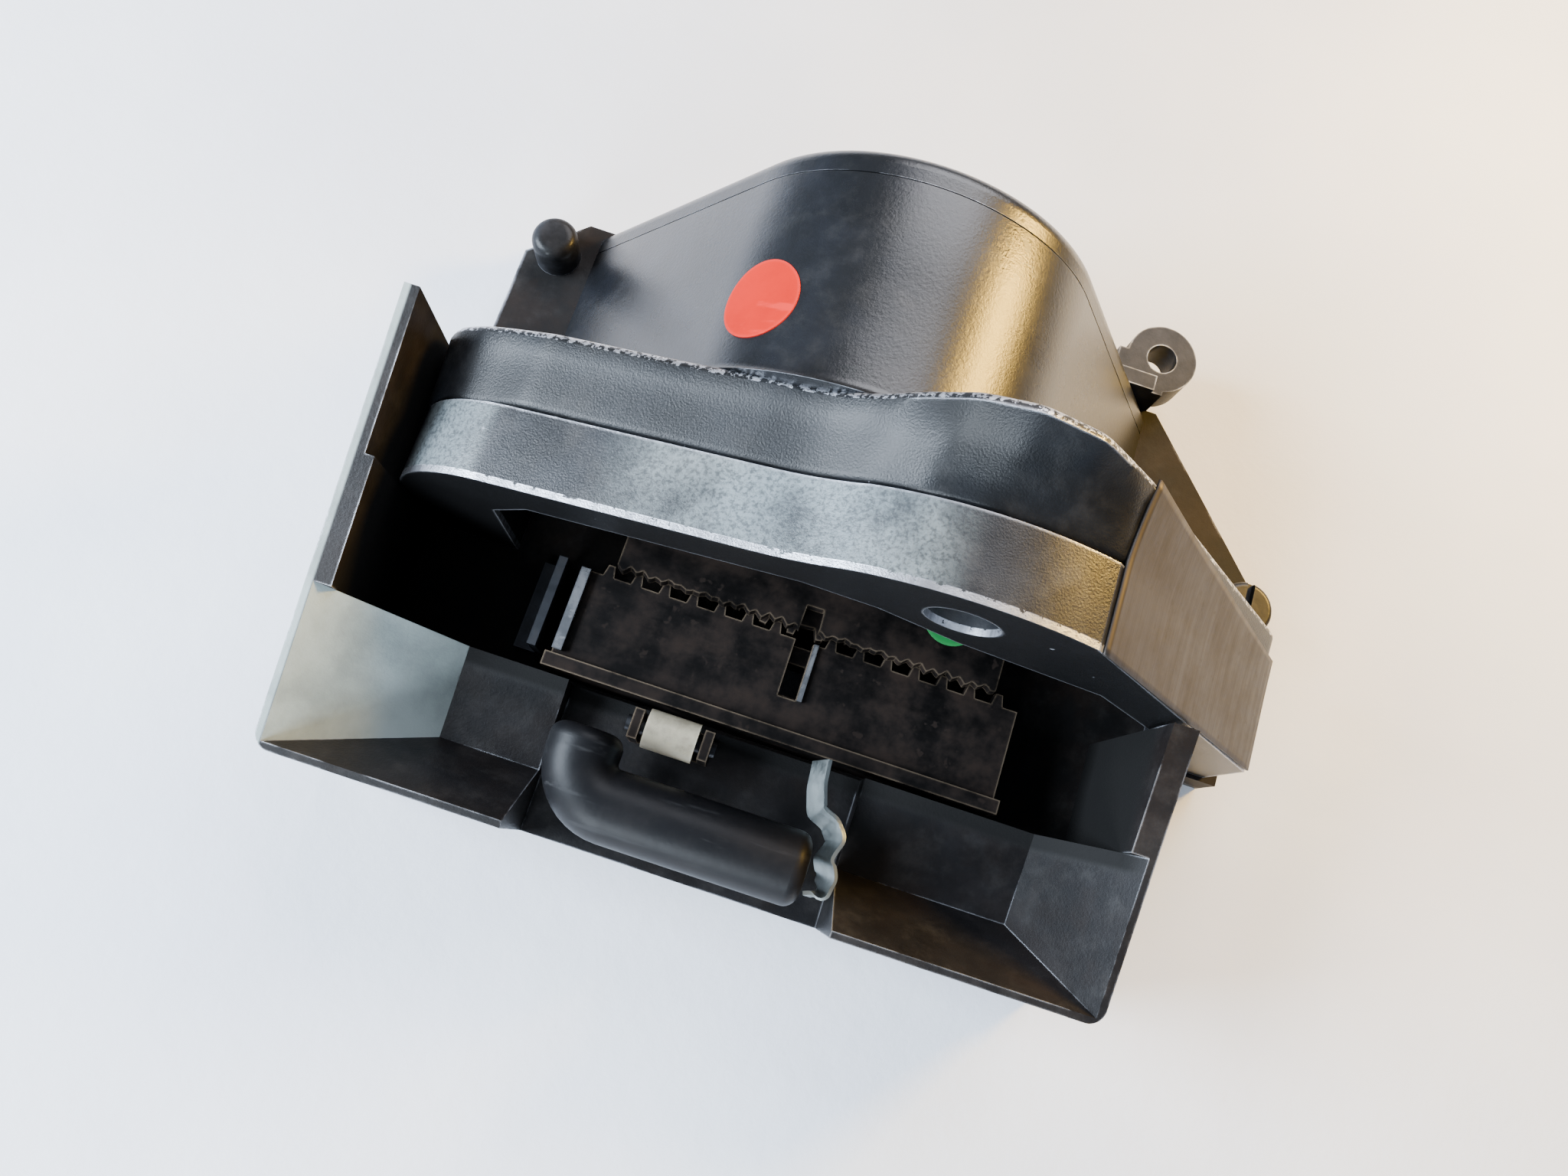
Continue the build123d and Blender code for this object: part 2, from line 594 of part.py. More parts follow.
with BuildPart() as shutter_edge:
    # bright steel strip folded over the shutter's left edge
    with BuildSketch(level(SHUT_Z + SHUT_T)):
        with Locations((SHUT_X0 + 0.5, (SHUT_Y0 + 0.9 + RACK_ROOT_Y) / 2)):
            Rectangle(1.0, RACK_ROOT_Y - SHUT_Y0 - 0.9)
    extrude(amount=0.8)
    with BuildSketch(level(SHUT_Z + SHUT_T)):
        with Locations((SLOT_X + SLOT_W / 2 + 0.35, (SLOT_Y0 + RACK_ROOT_Y) / 2)):
            Rectangle(0.5, RACK_ROOT_Y - SLOT_Y0)
    extrude(amount=0.4)
save(shutter_edge.part, "shutter_edge")

with BuildPart() as guide_rail:
    rail_y = SHUT_Y0 - SLIDE_GAP
    with BuildSketch(level(FLOOR_Z)):
        with Locations((RAIL_X, rail_y - RAIL_T / 2)):
            Rectangle(RAIL_W, RAIL_T)
    extrude(amount=SHUT_Z + SHUT_T + SLIDE_GAP + 0.5 - FLOOR_Z)
    with BuildSketch(level(SHUT_Z + SHUT_T + SLIDE_GAP)):
        with Locations((RAIL_X, rail_y + 0.1)):
            Rectangle(RAIL_W, 1.3)
    extrude(amount=0.5)
save(guide_rail.part, "guide_rail")

with BuildPart() as stop_strip:
    with BuildSketch(level(FLOOR_Z)):
        with Locations((SHUT_X0 - 2.2, 22.4)):
            Rectangle(0.9, 9.6)
    extrude(amount=SHUT_Z + SHUT_T - FLOOR_Z)
    with BuildSketch(level(FLOOR_Z)):
        with Locations((SHUT_X0 - 3.4, 22.4)):
            Rectangle(3.3, 9.6)
    extrude(amount=0.9)
save(stop_strip.part, "stop_strip")

BAFFLE_Z = SHUT_Z + SHUT_T + 0.7
with BuildPart() as upper_baffle:
    with BuildSketch(level(BAFFLE_Z)):
        with Locations((BAFFLE_X, 33.4)):
            Rectangle(BAFFLE_W, 9.6)
    extrude(amount=1.2)
    # bead along the front of the baffle
    with BuildSketch(level(BAFFLE_Z + 1.2)):
        with Locations((BAFFLE_X, 29.0)):
            Rectangle(BAFFLE_W, 0.8)
    extrude(amount=0.5)
    # legs
    with BuildSketch(level(FLOOR_Z)):
        for side in (-1, 1):
            with Locations((BAFFLE_X + side * (BAFFLE_W / 2 - 0.8), 37.1)):
                Rectangle(1.6, 2.0)
    extrude(amount=BAFFLE_Z - FLOOR_Z)
save(upper_baffle.part, "upper_baffle")

# ============================================================ finger bar
with BuildPart() as finger_bar:
    with BuildLine() as bar_path:
        bend = 4.0
        Line((BAR_LEFT, 11.2, BAR_Z), (BAR_LEFT, BAR_Y + bend, BAR_Z))
        mid = bend * (1 - cos(pi / 4))
        ThreePointArc((BAR_LEFT, BAR_Y + bend, BAR_Z), (BAR_LEFT + mid, BAR_Y + mid, BAR_Z),
                      (BAR_LEFT + bend, BAR_Y, BAR_Z))
        Line((BAR_LEFT + bend, BAR_Y, BAR_Z), (BAR_RIGHT, BAR_Y, BAR_Z))
    with BuildSketch(Plane(origin=(BAR_LEFT, 11.2, BAR_Z), x_dir=(1, 0, 0), z_dir=(0, -1, 0))):
        Circle(BAR_R)
    sweep(path=bar_path.line)
    fillet(finger_bar.edges().filter_by(GeomType.CIRCLE).filter_by(
        lambda e: e.center().Y > 11 or e.center().X > BAR_RIGHT - 1), 1.4)
save(finger_bar.part, "finger_bar")

with BuildPart() as bar_stems:
    with BuildSketch(level(FLOOR_Z + 0.4)):
        with Locations(*[(x, BAR_Y) for x in STEMS]):
            Circle(STEM_R)
    extrude(amount=BAR_Z - BAR_R + 0.8 - FLOOR_Z - 0.4)
    # the tops are hollowed to sit against the round bar
    with BuildSketch(Plane(origin=(-30, BAR_Y, BAR_Z), x_dir=(0, 1, 0), z_dir=(1, 0, 0))):
        Circle(BAR_R)
    extrude(amount=60, mode=Mode.SUBTRACT)
save(bar_stems.part, "bar_stems")

# ============================================================ roller
with BuildPart() as roller_bracket:
    with BuildSketch(level(NOTCH_Z)):
        with Locations((ROLL_X, ROLL_Y)):
            Rectangle(ROLL_LEN + 3.0, 3.0)
    extrude(amount=1.0)
    with BuildSketch(level(NOTCH_Z)):
        for side in (-1, 1):
            with Locations((ROLL_X + side * (ROLL_LEN / 2 + 1.0), ROLL_Y)):
                Rectangle(1.0, 3.0)
    extrude(amount=ROLL_Z - NOTCH_Z + 1.6)
    with BuildSketch(Plane(origin=(ROLL_X - 10, ROLL_Y, ROLL_Z), x_dir=(0, 1, 0), z_dir=(1, 0, 0))):
        Circle(ROLL_PIN_R)
    extrude(amount=20, mode=Mode.SUBTRACT)
save(roller_bracket.part, "roller_bracket")

pin_plane = Plane(origin=(ROLL_X - ROLL_LEN / 2 - 2.0, ROLL_Y, ROLL_Z), x_dir=(0, 1, 0), z_dir=(1, 0, 0))
with BuildPart() as roller_pin:
    with BuildSketch(pin_plane):
        Circle(ROLL_PIN_R)
    extrude(amount=ROLL_LEN + 4.0)
save(roller_pin.part, "roller_pin")

with BuildPart() as nylon_roller:
    with BuildSketch(pin_plane.offset(2.0)):
        Circle(ROLL_R)
        Circle(ROLL_PIN_R + RUN_GAP, mode=Mode.SUBTRACT)
    extrude(amount=ROLL_LEN)
save(nylon_roller.part, "nylon_roller")

# ============================================================ spring clip
with BuildPart() as spring_clip:
    with BuildSketch(level(CLIP_Z0)):
        run = [(9.6, SHUT_Y0 - SLIDE_GAP - RAIL_T), (10.4, 10.4), (13.3, 9.8), (13.5, 3.4), (11.9, 2.9)]
        for (x0, y0), (x1, y1) in zip(run[:-1], run[1:]):
            length = ((x1 - x0) ** 2 + (y1 - y0) ** 2) ** 0.5
            nx, ny = -(y1 - y0) / length * CLIP_T / 2, (x1 - x0) / length * CLIP_T / 2
            Polygon((x0 + nx, y0 + ny), (x1 + nx, y1 + ny), (x1 - nx, y1 - ny),
                    (x0 - nx, y0 - ny), align=None)
        with Locations(*run[1:-1]):
            Circle(CLIP_T / 2)
        with Locations((9.6, SHUT_Y0 - SLIDE_GAP - RAIL_T + 1)):
            Rectangle(4, 2, mode=Mode.SUBTRACT)
    extrude(amount=CLIP_H)
save(spring_clip.part, "spring_clip")

# ============================================================ setting knob
with BuildPart() as setting_knob:
    with BuildSketch(level(FLOOR_Z + 0.3)):
        with Locations(KNOB):
            Circle(KNOB_R)
    extrude(amount=4.2)
    fillet(setting_knob.edges().sort_by(Axis.Z)[-1], 0.6)
    with BuildSketch(level(FLOOR_Z + 3.7)):
        with Locations(KNOB):
            Rectangle(0.8, 2 * KNOB_R + 1)
    extrude(amount=2, mode=Mode.SUBTRACT)
save(setting_knob.part, "setting_knob")

with BuildPart() as knob_stem:
    with BuildSketch(level(GASKET_T + 2.0)):
        with Locations(KNOB):
            Circle(KNOB_STEM_R)
    extrude(amount=FLOOR_Z + 0.3 - GASKET_T - 2.0)
save(knob_stem.part, "knob_stem")

# ============================================================ inspection dots
with BuildPart() as red_dot:
    with BuildSketch(upright(DOT_Y - 6)):
        with Locations((DRUM_X, DRUM_Z)):
            Circle(DRUM_R + DOT_T)
            Circle(DRUM_R, mode=Mode.SUBTRACT)
    extrude(amount=-12)
    lean = radians(DOT_ANGLE)
    with BuildSketch(Plane(origin=(DRUM_X, DOT_Y, DRUM_Z), x_dir=(0, 1, 0),
                           z_dir=(-sin(lean), 0, cos(lean)))):
        Circle(DOT_R)
    extrude(amount=DRUM_R + 5, mode=Mode.INTERSECT)
save(red_dot.part, "red_dot")

with BuildPart() as green_dot:
    with BuildSketch(level(BAFFLE_Z + 1.2)):
        with Locations(GREEN_DOT):
            Circle(DOT_R)
    extrude(amount=DOT_T)
save(green_dot.part, "green_dot")
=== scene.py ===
"""Thermostatic air vent: visual model, finishes, light and camera.

Every piece is built in metres, in the same frame as the CAD model: X across
the vent, Y from the mouth to the drum's far end, Z up from the flat back.
Sizes are named in millimetres, and MM turns them into metres.
"""

import logging
from dataclasses import dataclass, field
from enum import Enum
from typing import Optional, Sequence, Union

import bmesh
import bpy
import numpy as np
from mathutils import Matrix, Vector

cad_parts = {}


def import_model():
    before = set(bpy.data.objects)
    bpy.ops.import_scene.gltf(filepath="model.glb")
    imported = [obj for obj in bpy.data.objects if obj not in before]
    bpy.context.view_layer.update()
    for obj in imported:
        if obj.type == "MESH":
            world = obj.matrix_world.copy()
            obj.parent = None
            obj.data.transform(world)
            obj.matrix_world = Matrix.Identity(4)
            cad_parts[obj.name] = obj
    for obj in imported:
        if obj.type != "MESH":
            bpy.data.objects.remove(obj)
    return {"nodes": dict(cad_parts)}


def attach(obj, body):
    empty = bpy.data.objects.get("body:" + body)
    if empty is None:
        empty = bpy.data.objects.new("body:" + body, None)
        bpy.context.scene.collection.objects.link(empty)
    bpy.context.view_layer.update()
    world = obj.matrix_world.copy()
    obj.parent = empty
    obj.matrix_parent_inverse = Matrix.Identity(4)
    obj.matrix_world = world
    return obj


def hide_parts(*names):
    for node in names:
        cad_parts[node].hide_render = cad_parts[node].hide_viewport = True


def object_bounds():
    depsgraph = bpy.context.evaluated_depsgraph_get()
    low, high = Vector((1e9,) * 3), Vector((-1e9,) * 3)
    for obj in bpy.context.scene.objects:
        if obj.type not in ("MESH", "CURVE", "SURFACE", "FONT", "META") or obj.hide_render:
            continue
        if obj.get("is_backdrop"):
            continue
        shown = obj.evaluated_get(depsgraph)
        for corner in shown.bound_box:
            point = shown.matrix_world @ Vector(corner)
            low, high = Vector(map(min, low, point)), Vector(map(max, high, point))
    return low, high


logging.basicConfig(level=logging.INFO, format="%(message)s")
log = logging.getLogger("vent")

MM = 0.001
Point = tuple[float, float, float]
Colour = tuple[float, float, float]
Socket = bpy.types.NodeSocket
Value = Union[float, Socket]


class Body(Enum):
    """The CAD body that the new pieces ride on."""

    VENT = "vent"


class Slot(Enum):
    """The record's material slots that the new pieces use."""

    BLACK = "black_paint"
    COVER = "worn_cover"
    STEEL = "steel"
    DARK = "dark_steel"
    GREEN = "green_paint"


# ------------------------------------------------------------------ finishes
@dataclass(frozen=True)
class PaintFinish:
    """Die-cast enamel with wear, dust and warm residue, plus painted sheen and painted shade.

    Colours are linear, and scales are features per metre. Each line is
    (y, half width, amount) of bare metal along an edge and each band is
    (x0, x1, amount) of painted sheen, a window reflection drawn into the colour, in mm.
    When pale_x is set, the metal left of it is bare and pale and the left wall's rim gets a
    painted highlight; past a given Y the low faces get painted shade.
    """

    name: str
    base: Colour = (0.012, 0.012, 0.014)
    lift: Colour = (0.035, 0.036, 0.042)
    metal: Colour = (0.62, 0.64, 0.70)
    dust: Colour = (0.20, 0.19, 0.18)
    stain: Colour = (0.22, 0.09, 0.025)
    # near-black colour of the painted shade on the recess's low faces
    recess_shade_colour: Colour = (0.0022, 0.0021, 0.0021)
    pale: Colour = (0.36, 0.43, 0.43)
    # painted sheen colour: the window's reflection drawn into the paint
    painted_sheen_colour: Colour = (0.17, 0.20, 0.21)
    # painted shade colour for the cover's underside
    underside: Colour = (0.0045, 0.0045, 0.005)
    wear: float = 0.5
    dust_amount: float = 0.25
    stain_amount: float = 0.0
    rough: float = 0.34
    rough_var: float = 0.16
    specular: float = 0.5
    coat: float = 0.15
    wrinkle: float = 0.10
    wrinkle_scale: float = 900.0
    edge_mm: float = 0.7
    pale_x: Optional[float] = None
    # Y beyond which the low faces get painted shade
    shade_from_y: Optional[float] = None
    # whether faces turned towards -Y get the painted shade colour
    painted_underside_shade: bool = False
    lines: tuple[tuple[float, float, float], ...] = ()
    # strips of painted sheen along X
    painted_sheen_bands: tuple[tuple[float, float, float], ...] = ()


@dataclass(frozen=True)
class MetalFinish:
    """Bare or oxidised metal with fine scratches along the grain."""

    name: str
    base: Colour = (0.55, 0.55, 0.57)
    tarnish: Colour = (0.16, 0.12, 0.09)
    tarnish_amount: float = 0.4
    rough: float = 0.28
    rough_var: float = 0.2
    bump: float = 0.05
    grain: tuple[float, float, float] = (0.12, 3.0, 3.0)
    edge_tint: Optional[Colour] = None


@dataclass(frozen=True)
class PlasticFinish:
    """Moulded plastic with grime and small scuffs."""

    name: str
    base: Colour = (0.02, 0.02, 0.02)
    grime: Colour = (0.06, 0.05, 0.04)
    grime_amount: float = 0.4
    rough: float = 0.4
    rough_var: float = 0.15
    bump: float = 0.04
    subsurface: float = 0.0
    specular: float = 0.5


Finish = Union[PaintFinish, MetalFinish, PlasticFinish]


class Nodes:
    """Small helper that adds and links shader nodes in one tree."""

    def __init__(self, tree: bpy.types.NodeTree) -> None:
        """Take the node tree that is filled."""
        self.tree = tree

    def add(self, kind: str, **values: object) -> bpy.types.Node:
        """Add a node and set its properties or input defaults.

        Args:
            kind: Node type name.
            values: Attribute or input values; underscores in input names
                stand for spaces.

        Returns:
            The new node.
        """
        node = self.tree.nodes.new(kind)
        for key, value in values.items():
            if hasattr(node, key):
                setattr(node, key, value)
            else:
                node.inputs[key.replace("_", " ")].default_value = value
        return node

    def link(self, out: Socket, into: Socket) -> None:
        """Join an output socket to an input socket."""
        self.tree.links.new(out, into)

    def feed(self, value: Union[Value, Colour], into: Socket) -> None:
        """Set an input to a number or a colour, or link a socket to it.

        Args:
            value: Number, colour or output socket.
            into: The input.
        """
        if isinstance(value, (int, float)):
            into.default_value = value
        elif isinstance(value, tuple):
            into.default_value = (*value, 1.0)
        else:
            self.link(value, into)

    def math(self, op: str, a: Value, b: Optional[Value] = None, clamp: bool = False) -> Socket:
        """Add a math node.

        Args:
            op: Operation name.
            a: First number or socket.
            b: Second number or socket, where the operation has one.
            clamp: Whether the result is held between 0 and 1.

        Returns:
            The result's socket.
        """
        node = self.add("ShaderNodeMath", operation=op, use_clamp=clamp)
        self.feed(a, node.inputs[0])
        if b is not None:
            self.feed(b, node.inputs[1])
        return node.outputs[0]

    def ramp(self, source: Socket, low: Value, high: Value) -> Socket:
        """Map a value to 0..1 by a smooth step.

        Args:
            source: The value.
            low: Where the result is 0.
            high: Where the result is 1; it may be below low.

        Returns:
            The result's socket.
        """
        node = self.add("ShaderNodeMapRange", interpolation_type="SMOOTHSTEP")
        self.feed(low, node.inputs["From Min"])
        self.feed(high, node.inputs["From Max"])
        self.link(source, node.inputs["Value"])
        return node.outputs["Result"]

    def mix(self, factor: Value, a: Union[Socket, Colour], b: Union[Socket, Colour]) -> Socket:
        """Mix two colours.

        Args:
            factor: Share of the second colour.
            a: First colour.
            b: Second colour.

        Returns:
            The colour's socket.
        """
        node = self.add("ShaderNodeMix", data_type="RGBA")
        self.feed(factor, node.inputs[0])
        self.feed(a, node.inputs[6])
        self.feed(b, node.inputs[7])
        return node.outputs[2]

    def noise(self, scale: float, detail: float = 4.0, rough: float = 0.55,
              stretch: Optional[Sequence[float]] = None) -> Socket:
        """Fractal noise over object coordinates.

        Args:
            scale: Features per metre.
            detail: Octaves.
            rough: Weight of each octave against the one before.
            stretch: Factors on X, Y and Z, which draw the pattern out.

        Returns:
            The noise's socket, 0..1.
        """
        coord = self.add("ShaderNodeTexCoord").outputs["Object"]
        if stretch is not None:
            mapping = self.add("ShaderNodeMapping")
            mapping.inputs["Scale"].default_value = stretch
            self.link(coord, mapping.inputs["Vector"])
            coord = mapping.outputs[0]
        node = self.add("ShaderNodeTexNoise", Scale=scale, Detail=detail, Roughness=rough)
        self.link(coord, node.inputs["Vector"])
        return node.outputs["Fac"]

    def place(self) -> bpy.types.NodeOutputs:
        """Object coordinates, as sockets X, Y and Z."""
        node = self.add("ShaderNodeSeparateXYZ")
        self.link(self.add("ShaderNodeTexCoord").outputs["Object"], node.inputs[0])
        return node.outputs

    def facing(self, normal: str = "Normal") -> bpy.types.NodeOutputs:
        """The surface's normal, or its True Normal, as sockets X, Y and Z."""
        node = self.add("ShaderNodeSeparateXYZ")
        self.link(self.add("ShaderNodeNewGeometry").outputs[normal], node.inputs[0])
        return node.outputs


def shader_group(name: str, inputs: Sequence[str],
                 output: str) -> tuple[Nodes, bpy.types.NodeOutputs, Socket]:
    """Start a shader group whose sockets are all numbers.

    Args:
        name: Group name.
        inputs: Names of its inputs.
        output: Name of its output.

    Returns:
        The node helper, the sockets of the inputs and the socket to fill.
    """
    tree = bpy.data.node_groups.new(name, "ShaderNodeTree")
    for label in inputs:
        tree.interface.new_socket(label, in_out="INPUT", socket_type="NodeSocketFloat")
    tree.interface.new_socket(output, in_out="OUTPUT", socket_type="NodeSocketFloat")
    n = Nodes(tree)
    return n, n.add("NodeGroupInput").outputs, n.add("NodeGroupOutput").inputs[output]


def edge_group() -> bpy.types.NodeTree:
    """Shader group that finds worn edges.

    Compares the surface normal with a rounded one of the given radius; the
    angle between them is large on edges and nil on flat faces.

    Returns:
        The group, with a Radius input and an Edge output.
    """
    n, given, result = shader_group("EdgeFinder", ["Radius"], "Edge")
    bevel = n.add("ShaderNodeBevel", samples=6)
    n.link(given["Radius"], bevel.inputs["Radius"])
    dot = n.add("ShaderNodeVectorMath", operation="DOT_PRODUCT")
    n.link(bevel.outputs[0], dot.inputs[0])
    n.link(n.add("ShaderNodeNewGeometry").outputs["Normal"], dot.inputs[1])
    bent = n.math("SUBTRACT", 1.0, dot.outputs["Value"], clamp=True)
    n.link(n.ramp(bent, 0.015, 0.16), result)
    return n.tree


PATCH_INPUTS = ("Scale", "Detail", "Roughness", "Low", "High", "Amount")


def patch_group() -> bpy.types.NodeTree:
    """Shader group of soft patches, for dust, stains, tarnish and grime.

    Fractal noise over object coordinates is cut between Low and High by a
    smooth step, and the result is scaled by Amount.

    Returns:
        The group, with inputs Scale, Detail, Roughness, Low, High and Amount
        and the output Mask.
    """
    n, given, result = shader_group("Patches", PATCH_INPUTS, "Mask")
    noise = n.add("ShaderNodeTexNoise")
    n.link(n.add("ShaderNodeTexCoord").outputs["Object"], noise.inputs["Vector"])
    for label in PATCH_INPUTS[:3]:
        n.link(given[label], noise.inputs[label])
    cut = n.ramp(noise.outputs["Fac"], given["Low"], given["High"])
    n.link(n.math("MULTIPLY", cut, given["Amount"]), result)
    return n.tree


class Finishes:
    """Builds and keeps one material per finish."""

    def __init__(self) -> None:
        """Create the shared shader groups."""
        self.edges = edge_group()
        self.patches = patch_group()
        self.made: dict[str, bpy.types.Material] = {}

    def make(self, f: Finish) -> bpy.types.Material:
        """Return the material of a finish, built when it is first asked for.

        Args:
            f: The finish.

        Returns:
            The material.
        """
        if f.name not in self.made:
            build = {PaintFinish: self.paint, MetalFinish: self.metal, PlasticFinish: self.plastic}[type(f)]
            self.made[f.name] = build(f)
        return self.made[f.name]

    def start(self, name: str) -> tuple[bpy.types.Material, Nodes, bpy.types.Node]:
        """Make an empty material.

        Args:
            name: Material name.

        Returns:
            The material, its node helper and its Principled node.
        """
        mat = bpy.data.materials.new(name)
        mat.use_nodes = True
        return mat, Nodes(mat.node_tree), mat.node_tree.nodes["Principled BSDF"]

    def edge(self, n: Nodes, radius: float) -> Socket:
        """Worn-edge mask for edges of radius mm."""
        node = n.add("ShaderNodeGroup", node_tree=self.edges)
        node.inputs["Radius"].default_value = radius * MM
        return node.outputs["Edge"]

    def patch(self, n: Nodes, noise: tuple[float, float, float], cut: tuple[float, float],
              amount: float) -> Socket:
        """Mask of soft patches.

        Args:
            n: Node helper.
            noise: Features per metre, octaves and their weight.
            cut: Noise values where the mask starts and is full.
            amount: The mask's height.

        Returns:
            The mask's socket.
        """
        node = n.add("ShaderNodeGroup", node_tree=self.patches)
        for label, value in zip(PATCH_INPUTS, (*noise, *cut, amount)):
            node.inputs[label].default_value = value
        return node.outputs["Mask"]

    def paint(self, f: PaintFinish) -> bpy.types.Material:
        """Enamel: colour lift, wrinkle, worn edges, chips, dust and residue, with painted sheen, painted
        shade and a painted rim highlight.

        Args:
            f: The finish.

        Returns:
            The material.
        """
        mat, n, bsdf = self.start(f.name)
        clouds = n.noise(140, 6, 0.6)
        # worn edges broken up by noise, plus a few chips away from edges
        worn = n.ramp(n.math("ADD", self.edge(n, f.edge_mm), n.math("MULTIPLY", clouds, 0.9)),
                      1.42 - 0.55 * f.wear, 1.62 - 0.5 * f.wear)
        chips = n.ramp(n.noise(420, 2, 0.5), 0.80 - 0.07 * f.wear, 0.83 - 0.07 * f.wear)
        bare = n.math("MAXIMUM", worn, n.math("MULTIPLY", chips, f.wear), clamp=True)
        bare = self._worn_lines(n, f, bare)
        dusty = self.patch(n, (260, 8, 0.7), (0.45, 0.78), f.dust_amount)
        stained = self.patch(n, (95, 7, 0.68), (0.40, 0.66), f.stain_amount)
        base = n.mix(n.ramp(clouds, 0.35, 0.75), f.base, f.lift)
        base = n.mix(stained, n.mix(dusty, base, f.dust), f.stain)
        # painted sheen strips and the painted shade of the underside
        base = self._painted_sheen_and_underside_shade(n, f, base)
        rough = n.math("ADD", f.rough - f.rough_var / 2, n.math("MULTIPLY", n.noise(45, 3, 0.5), f.rough_var))
        rough = n.math("ADD", rough, n.math("MULTIPLY", dusty, 0.5), clamp=True)
        # painted shade: the low faces far into the mouth's recess are darkened and lose their wear
        if f.shade_from_y is not None:
            recess_shade = self._recess_shade_mask(n, f.shade_from_y)
            base = n.mix(recess_shade, base, f.recess_shade_colour)
            bare = n.math("MULTIPLY", bare, n.math("SUBTRACT", 1.0, recess_shade))
            rough = n.math("ADD", rough, n.math("MULTIPLY", recess_shade, 0.35), clamp=True)
        # bare pale cheek, and a painted highlight on the left rim
        if f.pale_x is not None:
            base = self._pale_cheek_and_rim_highlight(n, f, base, clouds)
        streak = n.noise(60, 6, 0.7, stretch=(1.0, 1.0, 40.0))
        metal = n.mix(n.ramp(streak, 0.3, 0.7), tuple(0.55 * c for c in f.metal), f.metal)
        n.link(n.mix(bare, base, metal), bsdf.inputs["Base Color"])
        n.link(n.math("MULTIPLY", bare, 0.85), bsdf.inputs["Metallic"])
        n.link(rough, bsdf.inputs["Roughness"])
        bsdf.inputs["Specular IOR Level"].default_value = f.specular
        bsdf.inputs["Coat Weight"].default_value = f.coat
        bsdf.inputs["Coat Roughness"].default_value = 0.25
        height = n.math("ADD", n.noise(f.wrinkle_scale, 4, 0.6), n.math("MULTIPLY", bare, -0.9))
        height = n.math("ADD", height, n.math("MULTIPLY", n.noise(5200, 3, 0.6), 0.35))
        self.bump(n, bsdf, height, f.wrinkle, 0.0006)
        return mat

    def bump(self, n: Nodes, bsdf: bpy.types.Node, height: Socket, strength: float, distance: float) -> None:
        """Raise the surface by a height.

        Args:
            n: Node helper.
            bsdf: The material's shader.
            height: The height's socket.
            strength: Share of the effect.
            distance: Metres for a height of one.
        """
        bump = n.add("ShaderNodeBump", Strength=strength, Distance=distance)
        n.link(height, bump.inputs["Height"])
        n.link(bump.outputs[0], bsdf.inputs["Normal"])

    def _painted_sheen_and_underside_shade(self, n: Nodes, f: PaintFinish, base: Socket) -> Socket:
        """Painted sheen as speckled grey strips along X on the up-facing outer skin, and painted shade on the
        underside.

        Args:
            n: Node helper.
            f: The finish.
            base: Paint colour so far.

        Returns:
            The new colour.
        """
        if not f.painted_sheen_bands:
            return base
        x = n.place()["X"]
        facing = n.facing()
        sheen_total: Value = 0.0
        # each strip is painted sheen, a reflection of the window drawn as lighter grey
        for x0, x1, amount in f.painted_sheen_bands:
            soft = 0.18 * (x1 - x0)
            rise = n.ramp(x, x0 * MM, (x0 + soft) * MM)
            fall = n.ramp(x, x1 * MM, (x1 - soft) * MM)
            band = n.math("MULTIPLY", n.math("MULTIPLY", rise, fall), amount)
            sheen_total = n.math("ADD", band, sheen_total, clamp=True)
        speck = n.ramp(n.noise(2600, 3, 0.7), 0.34, 0.60)
        cloud = n.ramp(n.noise(90, 5, 0.6), 0.25, 0.60)
        broken = n.math("ADD", 0.35, n.math("MULTIPLY", speck, 0.65))
        mask = n.math("MULTIPLY", n.math("MULTIPLY", sheen_total, cloud), broken)
        mask = n.math("MULTIPLY", mask, n.ramp(facing["Z"], 0.3, 0.7), clamp=True)
        colour = n.mix(mask, base, f.painted_sheen_colour)
        # painted shade: faces turned towards -Y are darkened to the underside colour
        if f.painted_underside_shade:
            colour = n.mix(n.ramp(facing["Y"], -0.90, -0.98), colour, f.underside)
        return colour

    def _recess_shade_mask(self, n: Nodes, start: float) -> Socket:
        """Mask of painted shade: the low faces beyond start mm along Y, far into the mouth's recess."""
        place = n.place()
        low = n.ramp(place["Z"], 26.2 * MM, 22.2 * MM)
        return n.math("MULTIPLY", n.ramp(place["Y"], (start - 0.4) * MM, (start + 0.6) * MM), low)

    def _worn_lines(self, n: Nodes, f: PaintFinish, bare: Socket) -> Socket:
        """Add bare metal along edges that run at given Y, broken up by noise.

        Args:
            n: Node helper.
            f: The finish.
            bare: Mask so far.

        Returns:
            The new mask.
        """
        if not f.lines:
            return bare
        place = n.place()
        side = n.ramp(n.math("ABSOLUTE", n.facing()["Y"]), 0.97, 0.86)
        for y, half, amount in f.lines:
            off = n.math("ABSOLUTE", n.math("SUBTRACT", place["Y"], y * MM))
            ragged = n.noise(260 + 40 * y, 6, 0.7)
            reach = n.math("MULTIPLY", n.ramp(ragged, 0.72 - 0.34 * amount, 0.80 - 0.26 * amount), half * MM)
            band = n.ramp(n.math("SUBTRACT", off, reach), 0.04 * MM, -0.04 * MM)
            band = n.math("MULTIPLY", n.math("MULTIPLY", band, side), n.ramp(reach, 0.01 * MM, 0.06 * MM))
            bare = n.math("MAXIMUM", bare, band, clamp=True)
        return bare

